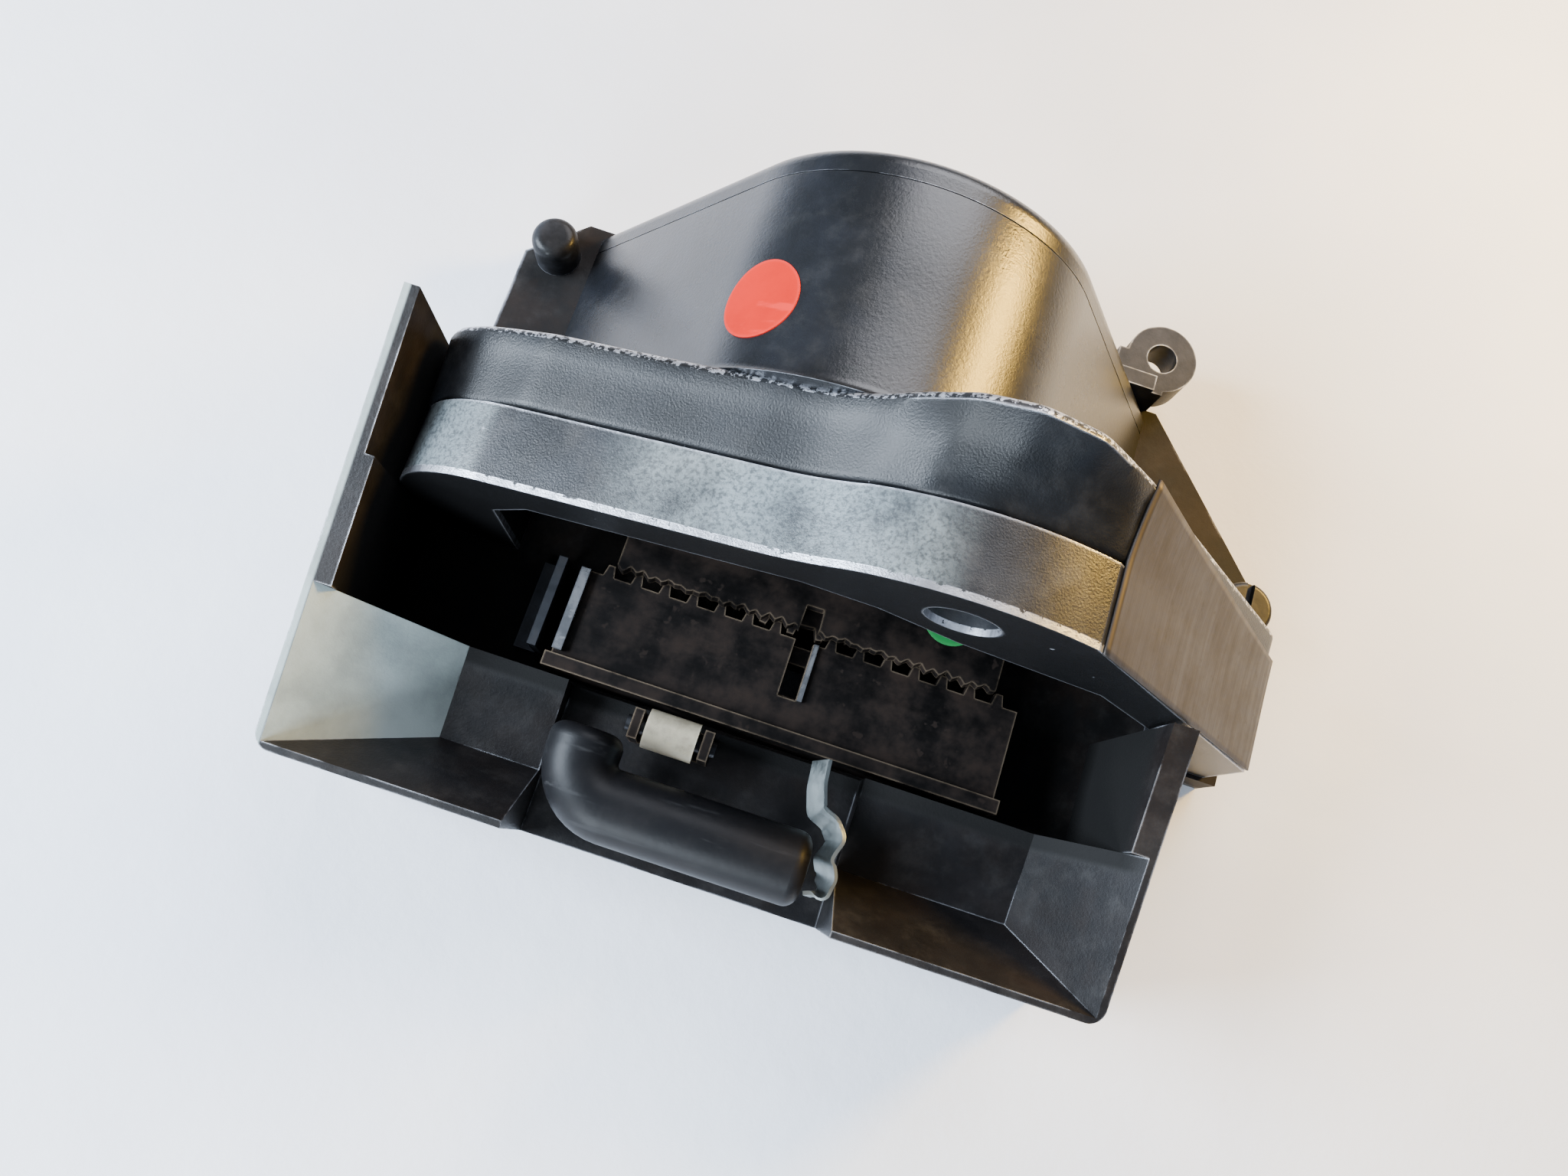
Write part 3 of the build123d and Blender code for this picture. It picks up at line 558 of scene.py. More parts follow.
    def _pale_cheek_and_rim_highlight(self, n: Nodes, f: PaintFinish, base: Socket, ragged: Socket) -> Socket:
        """Bare pale metal on the mouth's left cheek, and a painted highlight on the left wall's rim.

        The cheek is what lies left of pale_x and leans to the right; the rim's
        painted highlight lies on faces that turn up at the very left edge.

        Args:
            n: Node helper.
            f: The finish.
            base: Paint colour so far.
            ragged: Noise that breaks up the border.

        Returns:
            The new colour.
        """
        place = n.place()
        facing = n.facing("True Normal")
        x = n.math("ADD", place["X"], n.math("MULTIPLY", n.math("SUBTRACT", ragged, 0.5), 2.2 * MM))
        left = n.ramp(x, (f.pale_x + 0.1) * MM, (f.pale_x - 0.2) * MM)
        lean = n.math("MULTIPLY", n.ramp(facing["X"], 0.45, 0.55), n.ramp(facing["X"], 0.97, 0.9))
        cheek = n.math("MULTIPLY", n.math("MULTIPLY", left, lean), n.ramp(place["Y"], 16.5 * MM, 15.0 * MM))
        # painted highlight: up-facing faces at the left wall's very edge take the pale tone
        rim = n.math("MULTIPLY", n.ramp(facing["Z"], 0.80, 0.95), n.ramp(place["X"], -39.2 * MM, -39.5 * MM))
        mask = n.math("MAXIMUM", cheek, n.math("MULTIPLY", rim, 0.75), clamp=True)
        tone = n.mix(n.ramp(n.noise(120, 5, 0.6), 0.35, 0.7), f.pale, tuple(0.62 * c for c in f.pale))
        return n.mix(mask, base, tone)

    def metal(self, f: MetalFinish) -> bpy.types.Material:
        """Metal: tarnish patches, directional scratches and edge shine.

        Args:
            f: The finish.

        Returns:
            The material.
        """
        mat, n, bsdf = self.start(f.name)
        edge = self.edge(n, 0.35)
        clouds = n.noise(230, 7, 0.65)
        scratch = n.noise(320, 5, 0.6, stretch=f.grain)
        spots = self.patch(n, (900, 2, 0.5), (0.62, 0.72), f.tarnish_amount * 0.7)
        tarnish = n.math("MAXIMUM", self.patch(n, (230, 7, 0.65), (0.35, 0.72), f.tarnish_amount), spots)
        tarnish = n.math("MULTIPLY", tarnish, n.math("SUBTRACT", 1.0, n.math("MULTIPLY", edge, 0.8)))
        colour = n.mix(tarnish, f.base, f.tarnish)
        if f.edge_tint is not None:
            colour = n.mix(n.math("MULTIPLY", edge, n.ramp(clouds, 0.30, 0.52)), colour, f.edge_tint)
        n.link(colour, bsdf.inputs["Base Color"])
        n.link(n.math("SUBTRACT", 1.0, n.math("MULTIPLY", tarnish, 0.5)), bsdf.inputs["Metallic"])
        rough = n.math("ADD", f.rough, n.math("MULTIPLY", n.math("SUBTRACT", scratch, 0.5), f.rough_var))
        rough = n.math("ADD", rough, n.math("MULTIPLY", tarnish, 0.3), clamp=True)
        n.link(rough, bsdf.inputs["Roughness"])
        self.bump(n, bsdf, n.math("ADD", scratch, n.math("MULTIPLY", clouds, 0.5)), f.bump, 0.0004)
        return mat

    def plastic(self, f: PlasticFinish) -> bpy.types.Material:
        """Plastic: grime, scuffs and slight orange-peel.

        Args:
            f: The finish.

        Returns:
            The material.
        """
        mat, n, bsdf = self.start(f.name)
        clouds = n.noise(300, 7, 0.65)
        scuff = n.ramp(n.noise(260, 4, 0.6, stretch=(0.3, 2.5, 1.0)), 0.60, 0.72)
        colour = n.mix(self.patch(n, (300, 7, 0.65), (0.42, 0.74), f.grime_amount), f.base, f.grime)
        lighter = tuple(min(1.0, c * 1.6 + 0.03) for c in f.base)
        rubbed = n.math("MULTIPLY", n.math("MAXIMUM", self.edge(n, 0.5), scuff), 0.35)
        n.link(n.mix(rubbed, colour, lighter), bsdf.inputs["Base Color"])
        rough = n.math("ADD", f.rough, n.math("MULTIPLY", n.math("SUBTRACT", clouds, 0.5), f.rough_var * 2))
        rough = n.math("ADD", rough, n.math("MULTIPLY", scuff, 0.15), clamp=True)
        n.link(rough, bsdf.inputs["Roughness"])
        bsdf.inputs["Specular IOR Level"].default_value = f.specular
        bsdf.inputs["Subsurface Weight"].default_value = f.subsurface
        bsdf.inputs["Subsurface Radius"].default_value = (0.002, 0.0015, 0.001)
        peel = n.math("ADD", n.noise(1100, 3, 0.5), n.math("MULTIPLY", clouds, 0.7))
        self.bump(n, bsdf, peel, f.bump, 0.0005)
        return mat


PAINT_DRUM = PaintFinish("enamel_drum", base=(0.0045, 0.005, 0.006), lift=(0.009, 0.010, 0.013), wear=0.10,
                         dust_amount=0.05, rough=0.27, rough_var=0.08, wrinkle=0.08, wrinkle_scale=2600.0,
                         coat=0.1, edge_mm=0.1, specular=0.42)
PAINT_FLANGE = PaintFinish("enamel_flange", base=(0.0035, 0.0038, 0.0045), lift=(0.007, 0.008, 0.010),
                           wear=0.42, dust_amount=0.05, rough=0.36, coat=0.0, wrinkle=0.13,
                           wrinkle_scale=5200.0, edge_mm=0.5, specular=0.26,
                           lines=((42.6, 0.75, 0.85), (35.2, 0.35, 0.30)))
# The cover has painted sheen strips where the window's reflection falls, and painted shade on its underside.
PAINT_COVER = PaintFinish("cover_worn_painted_sheen_shade", base=(0.006, 0.0065, 0.008), lift=(0.018, 0.020, 0.024), wear=0.42,
                          dust_amount=0.10, rough=0.32, wrinkle=0.13, wrinkle_scale=5200.0, coat=0.0,
                          edge_mm=0.6, specular=0.40, painted_underside_shade=True,
                          painted_sheen_bands=((-19.0, 15.0, 1.0), (-37.5, -28.0, 0.7)),
                          lines=((27.75, 0.60, 1.25), (35.05, 0.30, 0.35)))
# The mouth's enamel gets painted shade on its low faces far into the recess.
PAINT_MOUTH = PaintFinish("enamel_mouth", base=(0.0050, 0.0049, 0.0055), lift=(0.012, 0.0115, 0.0125),
                          wear=0.10, dust_amount=0.06, stain=(0.018, 0.010, 0.006), stain_amount=0.2,
                          rough=0.40, wrinkle=0.08, wrinkle_scale=2600.0, coat=0.0, edge_mm=0.35,
                          pale_x=-26.9, shade_from_y=13.6, specular=0.22)
# Darker, flatter enamel for the inner plates: painted shade for the inside of the cavity.
PAINT_INSIDE_SHADED = PaintFinish("enamel_inside_shaded", base=(0.003, 0.003, 0.0032), lift=(0.008, 0.007, 0.007), wear=0.0,
                           dust_amount=0.06, stain=(0.02, 0.010, 0.005), stain_amount=0.3, rough=0.6,
                           wrinkle=0.06, coat=0.0, specular=0.15)
PAINT_LUG = PaintFinish("enamel_lug", base=(0.004, 0.004, 0.0045), wear=0.10, dust_amount=0.05, edge_mm=0.4,
                        rough=0.5, specular=0.12)
STEEL = MetalFinish("steel_worn", base=(0.34, 0.34, 0.36), tarnish_amount=0.5)
STEEL_DARK = MetalFinish("steel_dark", base=(0.016, 0.015, 0.015), tarnish=(0.020, 0.009, 0.004),
                         tarnish_amount=0.7, rough=0.46, edge_tint=(0.26, 0.20, 0.14))
STEEL_GREY = MetalFinish("steel_grey", base=(0.07, 0.075, 0.085), tarnish=(0.03, 0.02, 0.015), rough=0.4)
STEEL_BRIGHT = MetalFinish("steel_bright", base=(0.60, 0.62, 0.66), tarnish=(0.10, 0.07, 0.05),
                           tarnish_amount=0.45, rough=0.22, rough_var=0.14)
STEEL_FLANK = MetalFinish("steel_flank", base=(0.056, 0.050, 0.047), tarnish=(0.030, 0.025, 0.022),
                          tarnish_amount=0.35, rough=0.46, rough_var=0.25, bump=0.10,
                          grain=(2.6, 0.10, 2.6))
ZINC_PALE = MetalFinish("zinc_pale", base=(0.50, 0.56, 0.56), tarnish=(0.12, 0.13, 0.13),
                        tarnish_amount=0.6, rough=0.34)
BRASS = MetalFinish("brass_bush", base=(0.72, 0.52, 0.22))
BIMETAL = MetalFinish("bimetal", base=(0.5, 0.42, 0.32))
RUBBER = PlasticFinish("gasket", base=(0.02, 0.02, 0.02), rough=0.7)
BAR_PLASTIC = PlasticFinish("bar", base=(0.0045, 0.0046, 0.0055), grime=(0.012, 0.010, 0.010),
                            grime_amount=0.3, rough=0.46, rough_var=0.1, specular=0.16)
KNOB_PLASTIC = PlasticFinish("knob", base=(0.006, 0.006, 0.006), rough=0.4, specular=0.25)
NYLON = PlasticFinish("nylon", base=(0.50, 0.44, 0.32), grime=(0.12, 0.09, 0.06), grime_amount=0.6,
                      rough=0.38, subsurface=0.15)
RED = PlasticFinish("red_sticker", base=(0.42, 0.008, 0.002), grime=(0.26, 0.008, 0.003), grime_amount=0.3,
                    rough=0.7, specular=0.10)
GREEN = PlasticFinish("green_sticker", base=(0.008, 0.15, 0.035), grime=(0.01, 0.06, 0.02), rough=0.45)


# -------------------------------------------------------------- mesh helpers
def mesh_object(name: str, verts: np.ndarray, faces: Sequence[Sequence[int]],
                smooth_deg: float = 35.0) -> bpy.types.Object:
    """Make an object from vertices in millimetres and a face list.

    Args:
        name: Object name.
        verts: (n, 3) vertex positions in mm.
        faces: Vertex index lists.
        smooth_deg: Edges flatter than this are shaded smooth.

    Returns:
        The linked object, at the origin.
    """
    mesh = bpy.data.meshes.new(name)
    mesh.from_pydata((np.asarray(verts, float) * MM).tolist(), [], [list(f) for f in faces])
    mesh.validate()
    bm = bmesh.new()
    bm.from_mesh(mesh)
    bmesh.ops.remove_doubles(bm, verts=bm.verts, dist=1e-6)
    bmesh.ops.recalc_face_normals(bm, faces=bm.faces)
    bm.to_mesh(mesh)
    bm.free()
    mesh.shade_smooth()
    obj = bpy.data.objects.new(name, mesh)
    bpy.context.scene.collection.objects.link(obj)
    mesh.set_sharp_from_angle(angle=np.radians(smooth_deg))
    return obj


def bevelled(obj: bpy.types.Object, width: float, segments: int = 3) -> bpy.types.Object:
    """Round an object's sharp edges with a live bevel.

    Args:
        obj: The object.
        width: Width of the bevel in mm.
        segments: Steps across it.

    Returns:
        The same object.
    """
    mod = obj.modifiers.new("edge", "BEVEL")
    mod.width = width * MM
    mod.segments = segments
    mod.limit_method = "ANGLE"
    mod.angle_limit = np.radians(30.0)
    mod.harden_normals = True
    mod.use_clamp_overlap = True
    return obj


def grid_faces(rows: int, cols: int, closed: bool = False) -> list[tuple[int, int, int, int]]:
    """Quad faces of a vertex grid.

    Args:
        rows: Rows of vertices.
        cols: Vertices in a row.
        closed: Whether the last column joins the first.

    Returns:
        Vertex index lists.
    """
    r = np.arange(rows - 1)[:, None]
    c = np.arange(cols if closed else cols - 1)[None, :]
    nxt = (c + 1) % cols
    quads = np.stack([r * cols + c, r * cols + nxt, (r + 1) * cols + nxt, (r + 1) * cols + c], axis=-1)
    return quads.reshape(-1, 4).tolist()


def bar_mesh(name: str, rings: np.ndarray, smooth_deg: float) -> bpy.types.Object:
    """Make a closed solid from four-cornered rings, capped at both ends.

    Args:
        name: Object name.
        rings: (n, 4, 3) ring corners in mm.
        smooth_deg: Edges flatter than this are shaded smooth.

    Returns:
        The solid.
    """
    last = (len(rings) - 1) * 4
    caps = [(3, 2, 1, 0), (last, last + 1, last + 2, last + 3)]
    return mesh_object(name, rings.reshape(-1, 3), grid_faces(len(rings), 4, closed=True) + caps, smooth_deg)


def ring_mesh(name: str, rings: Sequence[tuple[float, np.ndarray]], smooth_deg: float) -> bpy.types.Object:
    """Join outlines that stand at given Y into one surface.

    Args:
        name: Object name.
        rings: Each ring's Y and its (n, 2) outline in X and Z, in mm.
        smooth_deg: Edges flatter than this are shaded smooth.

    Returns:
        The surface.
    """
    verts = np.concatenate([np.stack([r[:, 0], np.full(len(r), y), r[:, 1]], axis=1) for y, r in rings])
    return mesh_object(name, verts, grid_faces(len(rings), len(rings[0][1])), smooth_deg)


def resample(points: np.ndarray, count: int) -> np.ndarray:
    """Space points evenly along an open polyline.

    Args:
        points: (n, d) corners.
        count: Points wanted.

    Returns:
        (count, d) points.
    """
    pts = np.asarray(points, float)
    run = np.concatenate([[0], np.cumsum(np.linalg.norm(np.diff(pts, axis=0), axis=1))])
    at = np.linspace(0, run[-1], count)
    return np.stack([np.interp(at, run, pts[:, k]) for k in range(pts.shape[1])], axis=1)


def smooth_line(points: np.ndarray, count: int, passes: int) -> np.ndarray:
    """Resample a polyline and round its corners by repeated averaging.

    Args:
        points: (n, d) corners.
        count: Points wanted.
        passes: Times that each point moves half way to its neighbours' mean.

    Returns:
        (count, d) points.
    """
    line = resample(points, count)
    for _ in range(passes):
        line[1:-1] = 0.25 * line[:-2] + 0.5 * line[1:-1] + 0.25 * line[2:]
    return line


def settle(piece: bpy.types.Object, material: bpy.types.Material, slot: Slot,
           node: Optional[str] = None) -> None:
    """Dress a new piece and put it on the vent body.

    Args:
        piece: The piece.
        material: Its material.
        slot: Its material slot in the record; not used.
        node: The CAD node that it replaces, if any.
    """
    piece.data.materials.append(material)
    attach(piece, Body.VENT.value)
    if node:
        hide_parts(node)
    log.info("built %s", piece.name)


# ------------------------------------------------------------ flange and drum
@dataclass
class Flange:
    """The thick two-tier flange: cover below, housing flange above.

    The outlines are walked from the left heel over the sloping front, the
    nose and the flank to the right foot. Each ring of the skin is the outline
    at one station along Y, pulled in near the edges by a small fillet.
    """

    seam_y: float = 35.1
    back_y: float = 42.7
    heel: tuple[float, float] = (-38.4, 5.2)
    foot: tuple[float, float] = (50.4, 5.2)
    gap: float = 0.02
    fillet: float = 0.9
    swell: float = 1.5
    steps: int = 260
    bore_reach: tuple[float, float] = (-30.0, 42.0)
    bore_squeeze: float = 0.70
    bore_drop: float = 9.0
    bore_top: float = 26.0
    front: list[tuple[float, float]] = field(default_factory=lambda: [
        (-38.2, 16.5), (-38.0, 19.6), (-37.2, 21.9), (-35.6, 24.1), (-33.2, 26.0), (-30.2, 27.6),
        (-26.7, 29.7), (-19.7, 31.5), (-10.8, 33.9), (-3.0, 36.1), (-0.8, 36.8), (1.4, 37.8), (4.8, 39.9),
        (9.0, 41.9), (13.8, 42.6), (19.8, 42.2), (25.6, 40.8), (38.0, 27.6), (50.5, 14.6)])
    back: list[tuple[float, float]] = field(default_factory=lambda: [
        (-38.2, 16.5), (-38.1, 19.9), (-37.4, 22.8), (-35.9, 25.4), (-33.4, 27.4), (-30.2, 29.0),
        (-26.0, 30.9), (-19.7, 32.6), (-12.6, 34.6), (-5.9, 36.8), (-2.0, 37.9), (0.4, 38.9),
        (3.4, 41.0), (6.4, 43.9), (10.4, 47.0), (15.1, 48.2), (20.6, 46.8), (26.3, 41.6),
        (38.0, 28.6), (50.5, 14.9)])

    def outline(self, points: Sequence[tuple[float, float]]) -> np.ndarray:
        """Smooth, evenly spaced (steps, 2) outline from the heel over the points to the foot."""
        return smooth_line(np.array([self.heel, *points, self.foot]), self.steps, 3)

    def bore(self, outline: np.ndarray) -> np.ndarray:
        """Inner edge of a tier's faces, out of sight inside the drum.

        The outline's x is clipped and squeezed towards the middle, and its z
        is dropped and held between the floor and a top.

        Args:
            outline: (n, 2) outer edge.

        Returns:
            (n, 2) inner edge.
        """
        x = np.clip(outline[:, 0], *self.bore_reach) * self.bore_squeeze
        z = np.clip(outline[:, 1] - self.bore_drop, self.heel[1], self.bore_top)
        return np.stack([x, z], axis=1)

    def corner(self, y: float, outline: np.ndarray, normal: np.ndarray,
               way: int) -> list[tuple[float, np.ndarray]]:
        """Rings of one rounded edge, a quarter circle in four steps.

        Args:
            y: The face that the edge ends on.
            outline: (n, 2) outline at the edge.
            normal: (n, 2) outward normals.
            way: 1 where the skin lies beyond y, -1 where it lies before it.

        Returns:
            Rings from the face to the skin.
        """
        turn = np.linspace(np.pi / 2, 0, 5)
        return [(y + way * self.fillet * (1 - np.sin(a)), outline - normal * self.fillet * (1 - np.cos(a)))
                for a in turn]

    def tier(self) -> bpy.types.Object:
        """Upper tier, from the seam to the flange's back, hollow inside.

        Rings run from the far face's inner edge to the near face's, over the
        skin, and back. Between the rounded edges the outline goes from the
        front one to the back one by the power swell of the way.

        Returns:
            The tier.
        """
        near, far = self.seam_y + self.gap, self.back_y
        lo, hi = self.outline(self.front), self.outline(self.back)
        bore = self.bore(hi)
        tangent = np.gradient(lo, axis=0)
        tangent /= np.linalg.norm(tangent, axis=1)[:, None]
        normal = np.stack([-tangent[:, 1], tangent[:, 0]], axis=1)
        rings = [(far, bore), (near, bore)]
        rings += self.corner(near, lo, normal, 1)
        for way in (0.3, 0.5, 0.7):
            share = way ** self.swell
            rings.append((near + (far - near) * way, lo * (1 - share) + hi * share))
        rings += self.corner(far, hi, normal, -1)[::-1]
        rings.append((far, bore))
        return ring_mesh("flange_tier", rings, 40)


@dataclass
class DrumShell:
    """Drum skin: a round roof between two falling flanks, swept along Y.

    Stations run from inside the flange to the end cap's joint, over the skin,
    and back along the inner wall.
    """

    x: float = 2.8
    z: float = 18.2
    radius: float = 19.8
    left_fall: float = 52.8
    right_fall: float = 58.0
    floor_z: float = 5.0
    start_y: float = 41.0
    root_y: float = 42.7
    mid_y: float = 55.0
    rim_y: float = 63.98
    rim_r: float = 0.15
    root_r: float = 1.4
    wall: float = 3.0
    lip: float = 1.5
    steps: int = 180

    def section(self, inset: float) -> np.ndarray:
        """Drum outline from the left foot to the right foot.

        Args:
            inset: How far the round roof is pulled in, in mm.

        Returns:
            (steps, 2) points in X and Z.
        """
        r = self.radius - inset
        la, ra = np.radians(self.left_fall), np.radians(self.right_fall)
        arc = np.linspace(-la, ra, 90)
        roof = np.stack([self.x + r * np.sin(arc), self.z + r * np.cos(arc)], axis=1)
        lf = (roof[0, 0] - (roof[0, 1] - self.floor_z) / np.tan(la), self.floor_z)
        rf = (roof[-1, 0] + (roof[-1, 1] - self.floor_z) / np.tan(ra), self.floor_z)
        return resample(np.vstack([lf, roof, rf]), self.steps)

    def build(self) -> bpy.types.Object:
        """Make the drum skin.

        The skin flares out by a quarter circle at its root on the flange, and
        shrinks by a small one at the rim.

        Returns:
            The skin, with an inner wall, as a closed solid.
        """
        rings = [(self.start_y, self.section(self.wall))]
        for a in np.linspace(0, np.pi / 2, 6):
            flare = self.section(-self.root_r * (1 - np.sin(a)))
            rings.append((self.root_y + self.root_r * (1 - np.cos(a)), flare))
        rings.append((self.mid_y, self.section(0)))
        for a in np.linspace(0, np.pi / 2, 8):
            shrunk = self.section(self.rim_r * (1 - np.cos(a)))
            rings.append((self.rim_y - self.rim_r * (1 - np.sin(a)), shrunk))
        rings.append((self.rim_y, self.section(self.wall + self.lip)))
        rings.append((self.rim_y - self.wall, self.section(self.wall)))
        rings.append((self.start_y, self.section(self.wall)))
        return ring_mesh("drum_skin", rings, 30)


@dataclass
class Facing:
    """Bare, brushed strip that both tiers share on the right flank.

    A grid runs from the nose to the foot, and from the cover's underside to
    the flange's back. It lies a little above the flank, which keeps the
    cover's straight line up to the seam, and from there moves out by a power
    of the way to the flange's back.
    """

    seam_y: float
    back_y: float
    power: float
    nose_y: float = 27.62
    nose_width: float = 15.13
    foot_y: float = 27.9
    foot_width: float = 11.7
    nose: tuple[float, float] = (26.1, 40.35)
    foot: tuple[float, float] = (50.6, 14.7)
    nose_out: tuple[float, float] = (0.7, 0.85)
    foot_out: float = 0.3
    lift: float = 0.06
    thickness: float = 0.25
    rows: int = 40
    cols: int = 24

    def build(self) -> bpy.types.Object:
        """Return the strip, given its thickness by a live modifier."""
        u = np.linspace(0, 1, self.rows)[:, None]
        v = np.linspace(0, 1, self.cols)[None, :]
        y = (1 - u) * (self.nose_y + self.nose_width * v) + u * (self.foot_y + self.foot_width * v)
        out = np.clip((y - self.seam_y) / (self.back_y - self.seam_y), 0, 1) ** self.power
        x = (1 - u) * (self.nose[0] + self.nose_out[0] * out) + u * self.foot[0] + self.lift
        z = (1 - u) * (self.nose[1] + self.nose_out[1] * out) + u * (self.foot[1] + self.foot_out * out)
        z += self.lift
        grid = np.stack([x, y, z], axis=-1)
        obj = mesh_object("flank_facing", grid.reshape(-1, 3), grid_faces(self.rows, self.cols), 60)
        solid = obj.modifiers.new("thick", "SOLIDIFY")
        solid.thickness = self.thickness * MM
        solid.offset = 0.0
        return obj


@dataclass
class Housing:
    """Drum housing: the flange's upper tier, the drum skin and the flank facing."""

    flange: Flange = field(default_factory=Flange)
    drum: DrumShell = field(default_factory=DrumShell)

    def build(self, finishes: Finishes) -> None:
        """Make the pieces, dress them and put them on the vent body."""
        facing = Facing(self.flange.seam_y, self.flange.back_y, self.flange.swell)
        settle(self.flange.tier(), finishes.make(PAINT_FLANGE), Slot.BLACK, "drum_housing")
        settle(self.drum.build(), finishes.make(PAINT_DRUM), Slot.BLACK, "drum_housing")
        settle(facing.build(), finishes.make(STEEL_FLANK), Slot.COVER)


# --------------------------------------------------------------- small pieces
@dataclass
class Ribbon:
    """Bent sheet strip: a rectangle section swept along a smoothed path.

    At each station the section is spanned by a width direction, turned
    across the path, and the strip's thickness along the other normal.
    """

    name: str
    path: Sequence[Point]
    width: float
    thickness: float
    lean: Point
    edge: float = 0.08
    steps: int = 90
    passes: int = 6

    def build(self) -> bpy.types.Object:
        """Return the strip as a closed solid with rounded edges."""
        line = smooth_line(np.array(self.path), self.steps, self.passes)
        along = np.gradient(line, axis=0)
        along /= np.linalg.norm(along, axis=1)[:, None]
        lean = np.array(self.lean) / np.linalg.norm(self.lean)
        across = lean - (along @ lean)[:, None] * along
        across /= np.linalg.norm(across, axis=1)[:, None]
        flat = np.cross(along, across)
        w, t = self.width / 2, self.thickness / 2
        corners = [(-w, -t), (w, -t), (w, t), (-w, t)]
        rings = np.stack([line + across * a + flat * b for a, b in corners], axis=1)
        return bevelled(bar_mesh(self.name, rings, 40), self.edge, 2)


class Axis(Enum):
    """The axis that a lathe piece is turned about."""

    Y = "y"
    Z = "z"


@dataclass
class Turned:
    """Lathe piece: a profile of (radius, height) turned about an axis."""

    name: str
    profile: Sequence[tuple[float, float]]
    centre: Point
    axis: Axis = Axis.Z
    steps: int = 48

    def build(self) -> bpy.types.Object:
        """Return the turned solid; the profile starts and ends on the axis."""
        ang = np.linspace(0, 2 * np.pi, self.steps, endpoint=False)
        prof = np.array(self.profile)
        r, h = prof[:, :1], np.repeat(prof[:, 1:], self.steps, axis=1)
        a, b = r * np.cos(ang), r * np.sin(ang)
        order = {Axis.Z: (a, b, h), Axis.Y: (a, h, b)}[self.axis]
        verts = np.stack(order, axis=-1).reshape(-1, 3) + np.array(self.centre)
        return mesh_object(self.name, verts, grid_faces(len(prof), self.steps, closed=True), 40)


@dataclass
class Baffle:
    """Baffle over the shutter's far edge, with a finely serrated near edge.

    The near edge is a triangle wave along X, made uneven by two slow sines,
    and steps back at the slot. Each station is a closed rectangle in Y and Z
    whose upper near corner is cut back a little.
    """

    left: float = -16.0
    right: float = 24.4
    near_y: float = 27.35
    far_y: float = 38.2
    low_z: float = 12.62
    top_z: float = 13.8
    pitch: float = 1.35
    depth: float = 0.38
    cut_back: float = 0.15
    slot: tuple[float, float] = (3.5, 5.4)
    slot_y: float = 29.9
    stations: int = 405

    def build(self) -> bpy.types.Object:
        """Return the baffle as a closed solid."""
        x = np.linspace(self.left, self.right, self.stations)
        wave = np.abs(((x - self.left) / self.pitch) % 1.0 - 0.5) * 2 * self.depth
        uneven = 0.12 * np.sin(1.7 * x) + 0.08 * np.sin(4.3 * x + 1.0)
        near = np.where((x > self.slot[0]) & (x < self.slot[1]), self.slot_y, self.near_y + wave + uneven)
        far, low, top = (np.full_like(x, size) for size in (self.far_y, self.low_z, self.top_z))
        corners = ((near, low), (far, low), (far, top), (near + self.cut_back, top))
        rings = np.stack([np.stack([x, y, z], axis=1) for y, z in corners], axis=1)
        return bar_mesh("baffle_serrated", rings, 25)


@dataclass
class SmallParts:
    """Clip, hole screw, serrated baffle and green sticker."""

    clip: Ribbon = field(default_factory=lambda: Ribbon(
        "clip_strip",
        [(9.7, 15.5, 14.2), (9.9, 13.0, 14.4), (10.6, 10.6, 14.6), (12.2, 9.9, 14.8), (13.2, 8.6, 15.0),
         (12.6, 6.6, 14.9), (13.4, 5.0, 14.4), (13.3, 3.4, 14.0), (12.1, 2.9, 13.6)],
        width=3.4, thickness=0.4, lean=(0.35, 0.25, 0.9)))
    screw: Turned = field(default_factory=lambda: Turned(
        "hole_screw",
        [(0, 4.6), (1.0, 4.5), (1.1, 3.2), (2.2, 2.6), (2.9, 2.9), (3.15, 3.8), (3.15, 7.0), (0, 7.0)],
        centre=(15.6, 27.7, 35.6), axis=Axis.Y))
    baffle: Baffle = field(default_factory=Baffle)
    sticker: Turned = field(default_factory=lambda: Turned(
        "green_sticker", [(0, 0.0), (3.0, 0.0), (3.0, 0.12), (0, 0.12)], centre=(18.1, 33.6, 13.82)))

    def build(self, finishes: Finishes) -> None:
        """Make the small pieces and put each on the vent body."""
        settle(self.clip.build(), finishes.make(ZINC_PALE), Slot.STEEL, "spring_clip")
        settle(self.screw.build(), finishes.make(STEEL_BRIGHT), Slot.STEEL)
        settle(self.baffle.build(), finishes.make(STEEL_DARK), Slot.DARK, "upper_baffle")
        settle(self.sticker.build(), finishes.make(GREEN), Slot.GREEN, "green_dot")


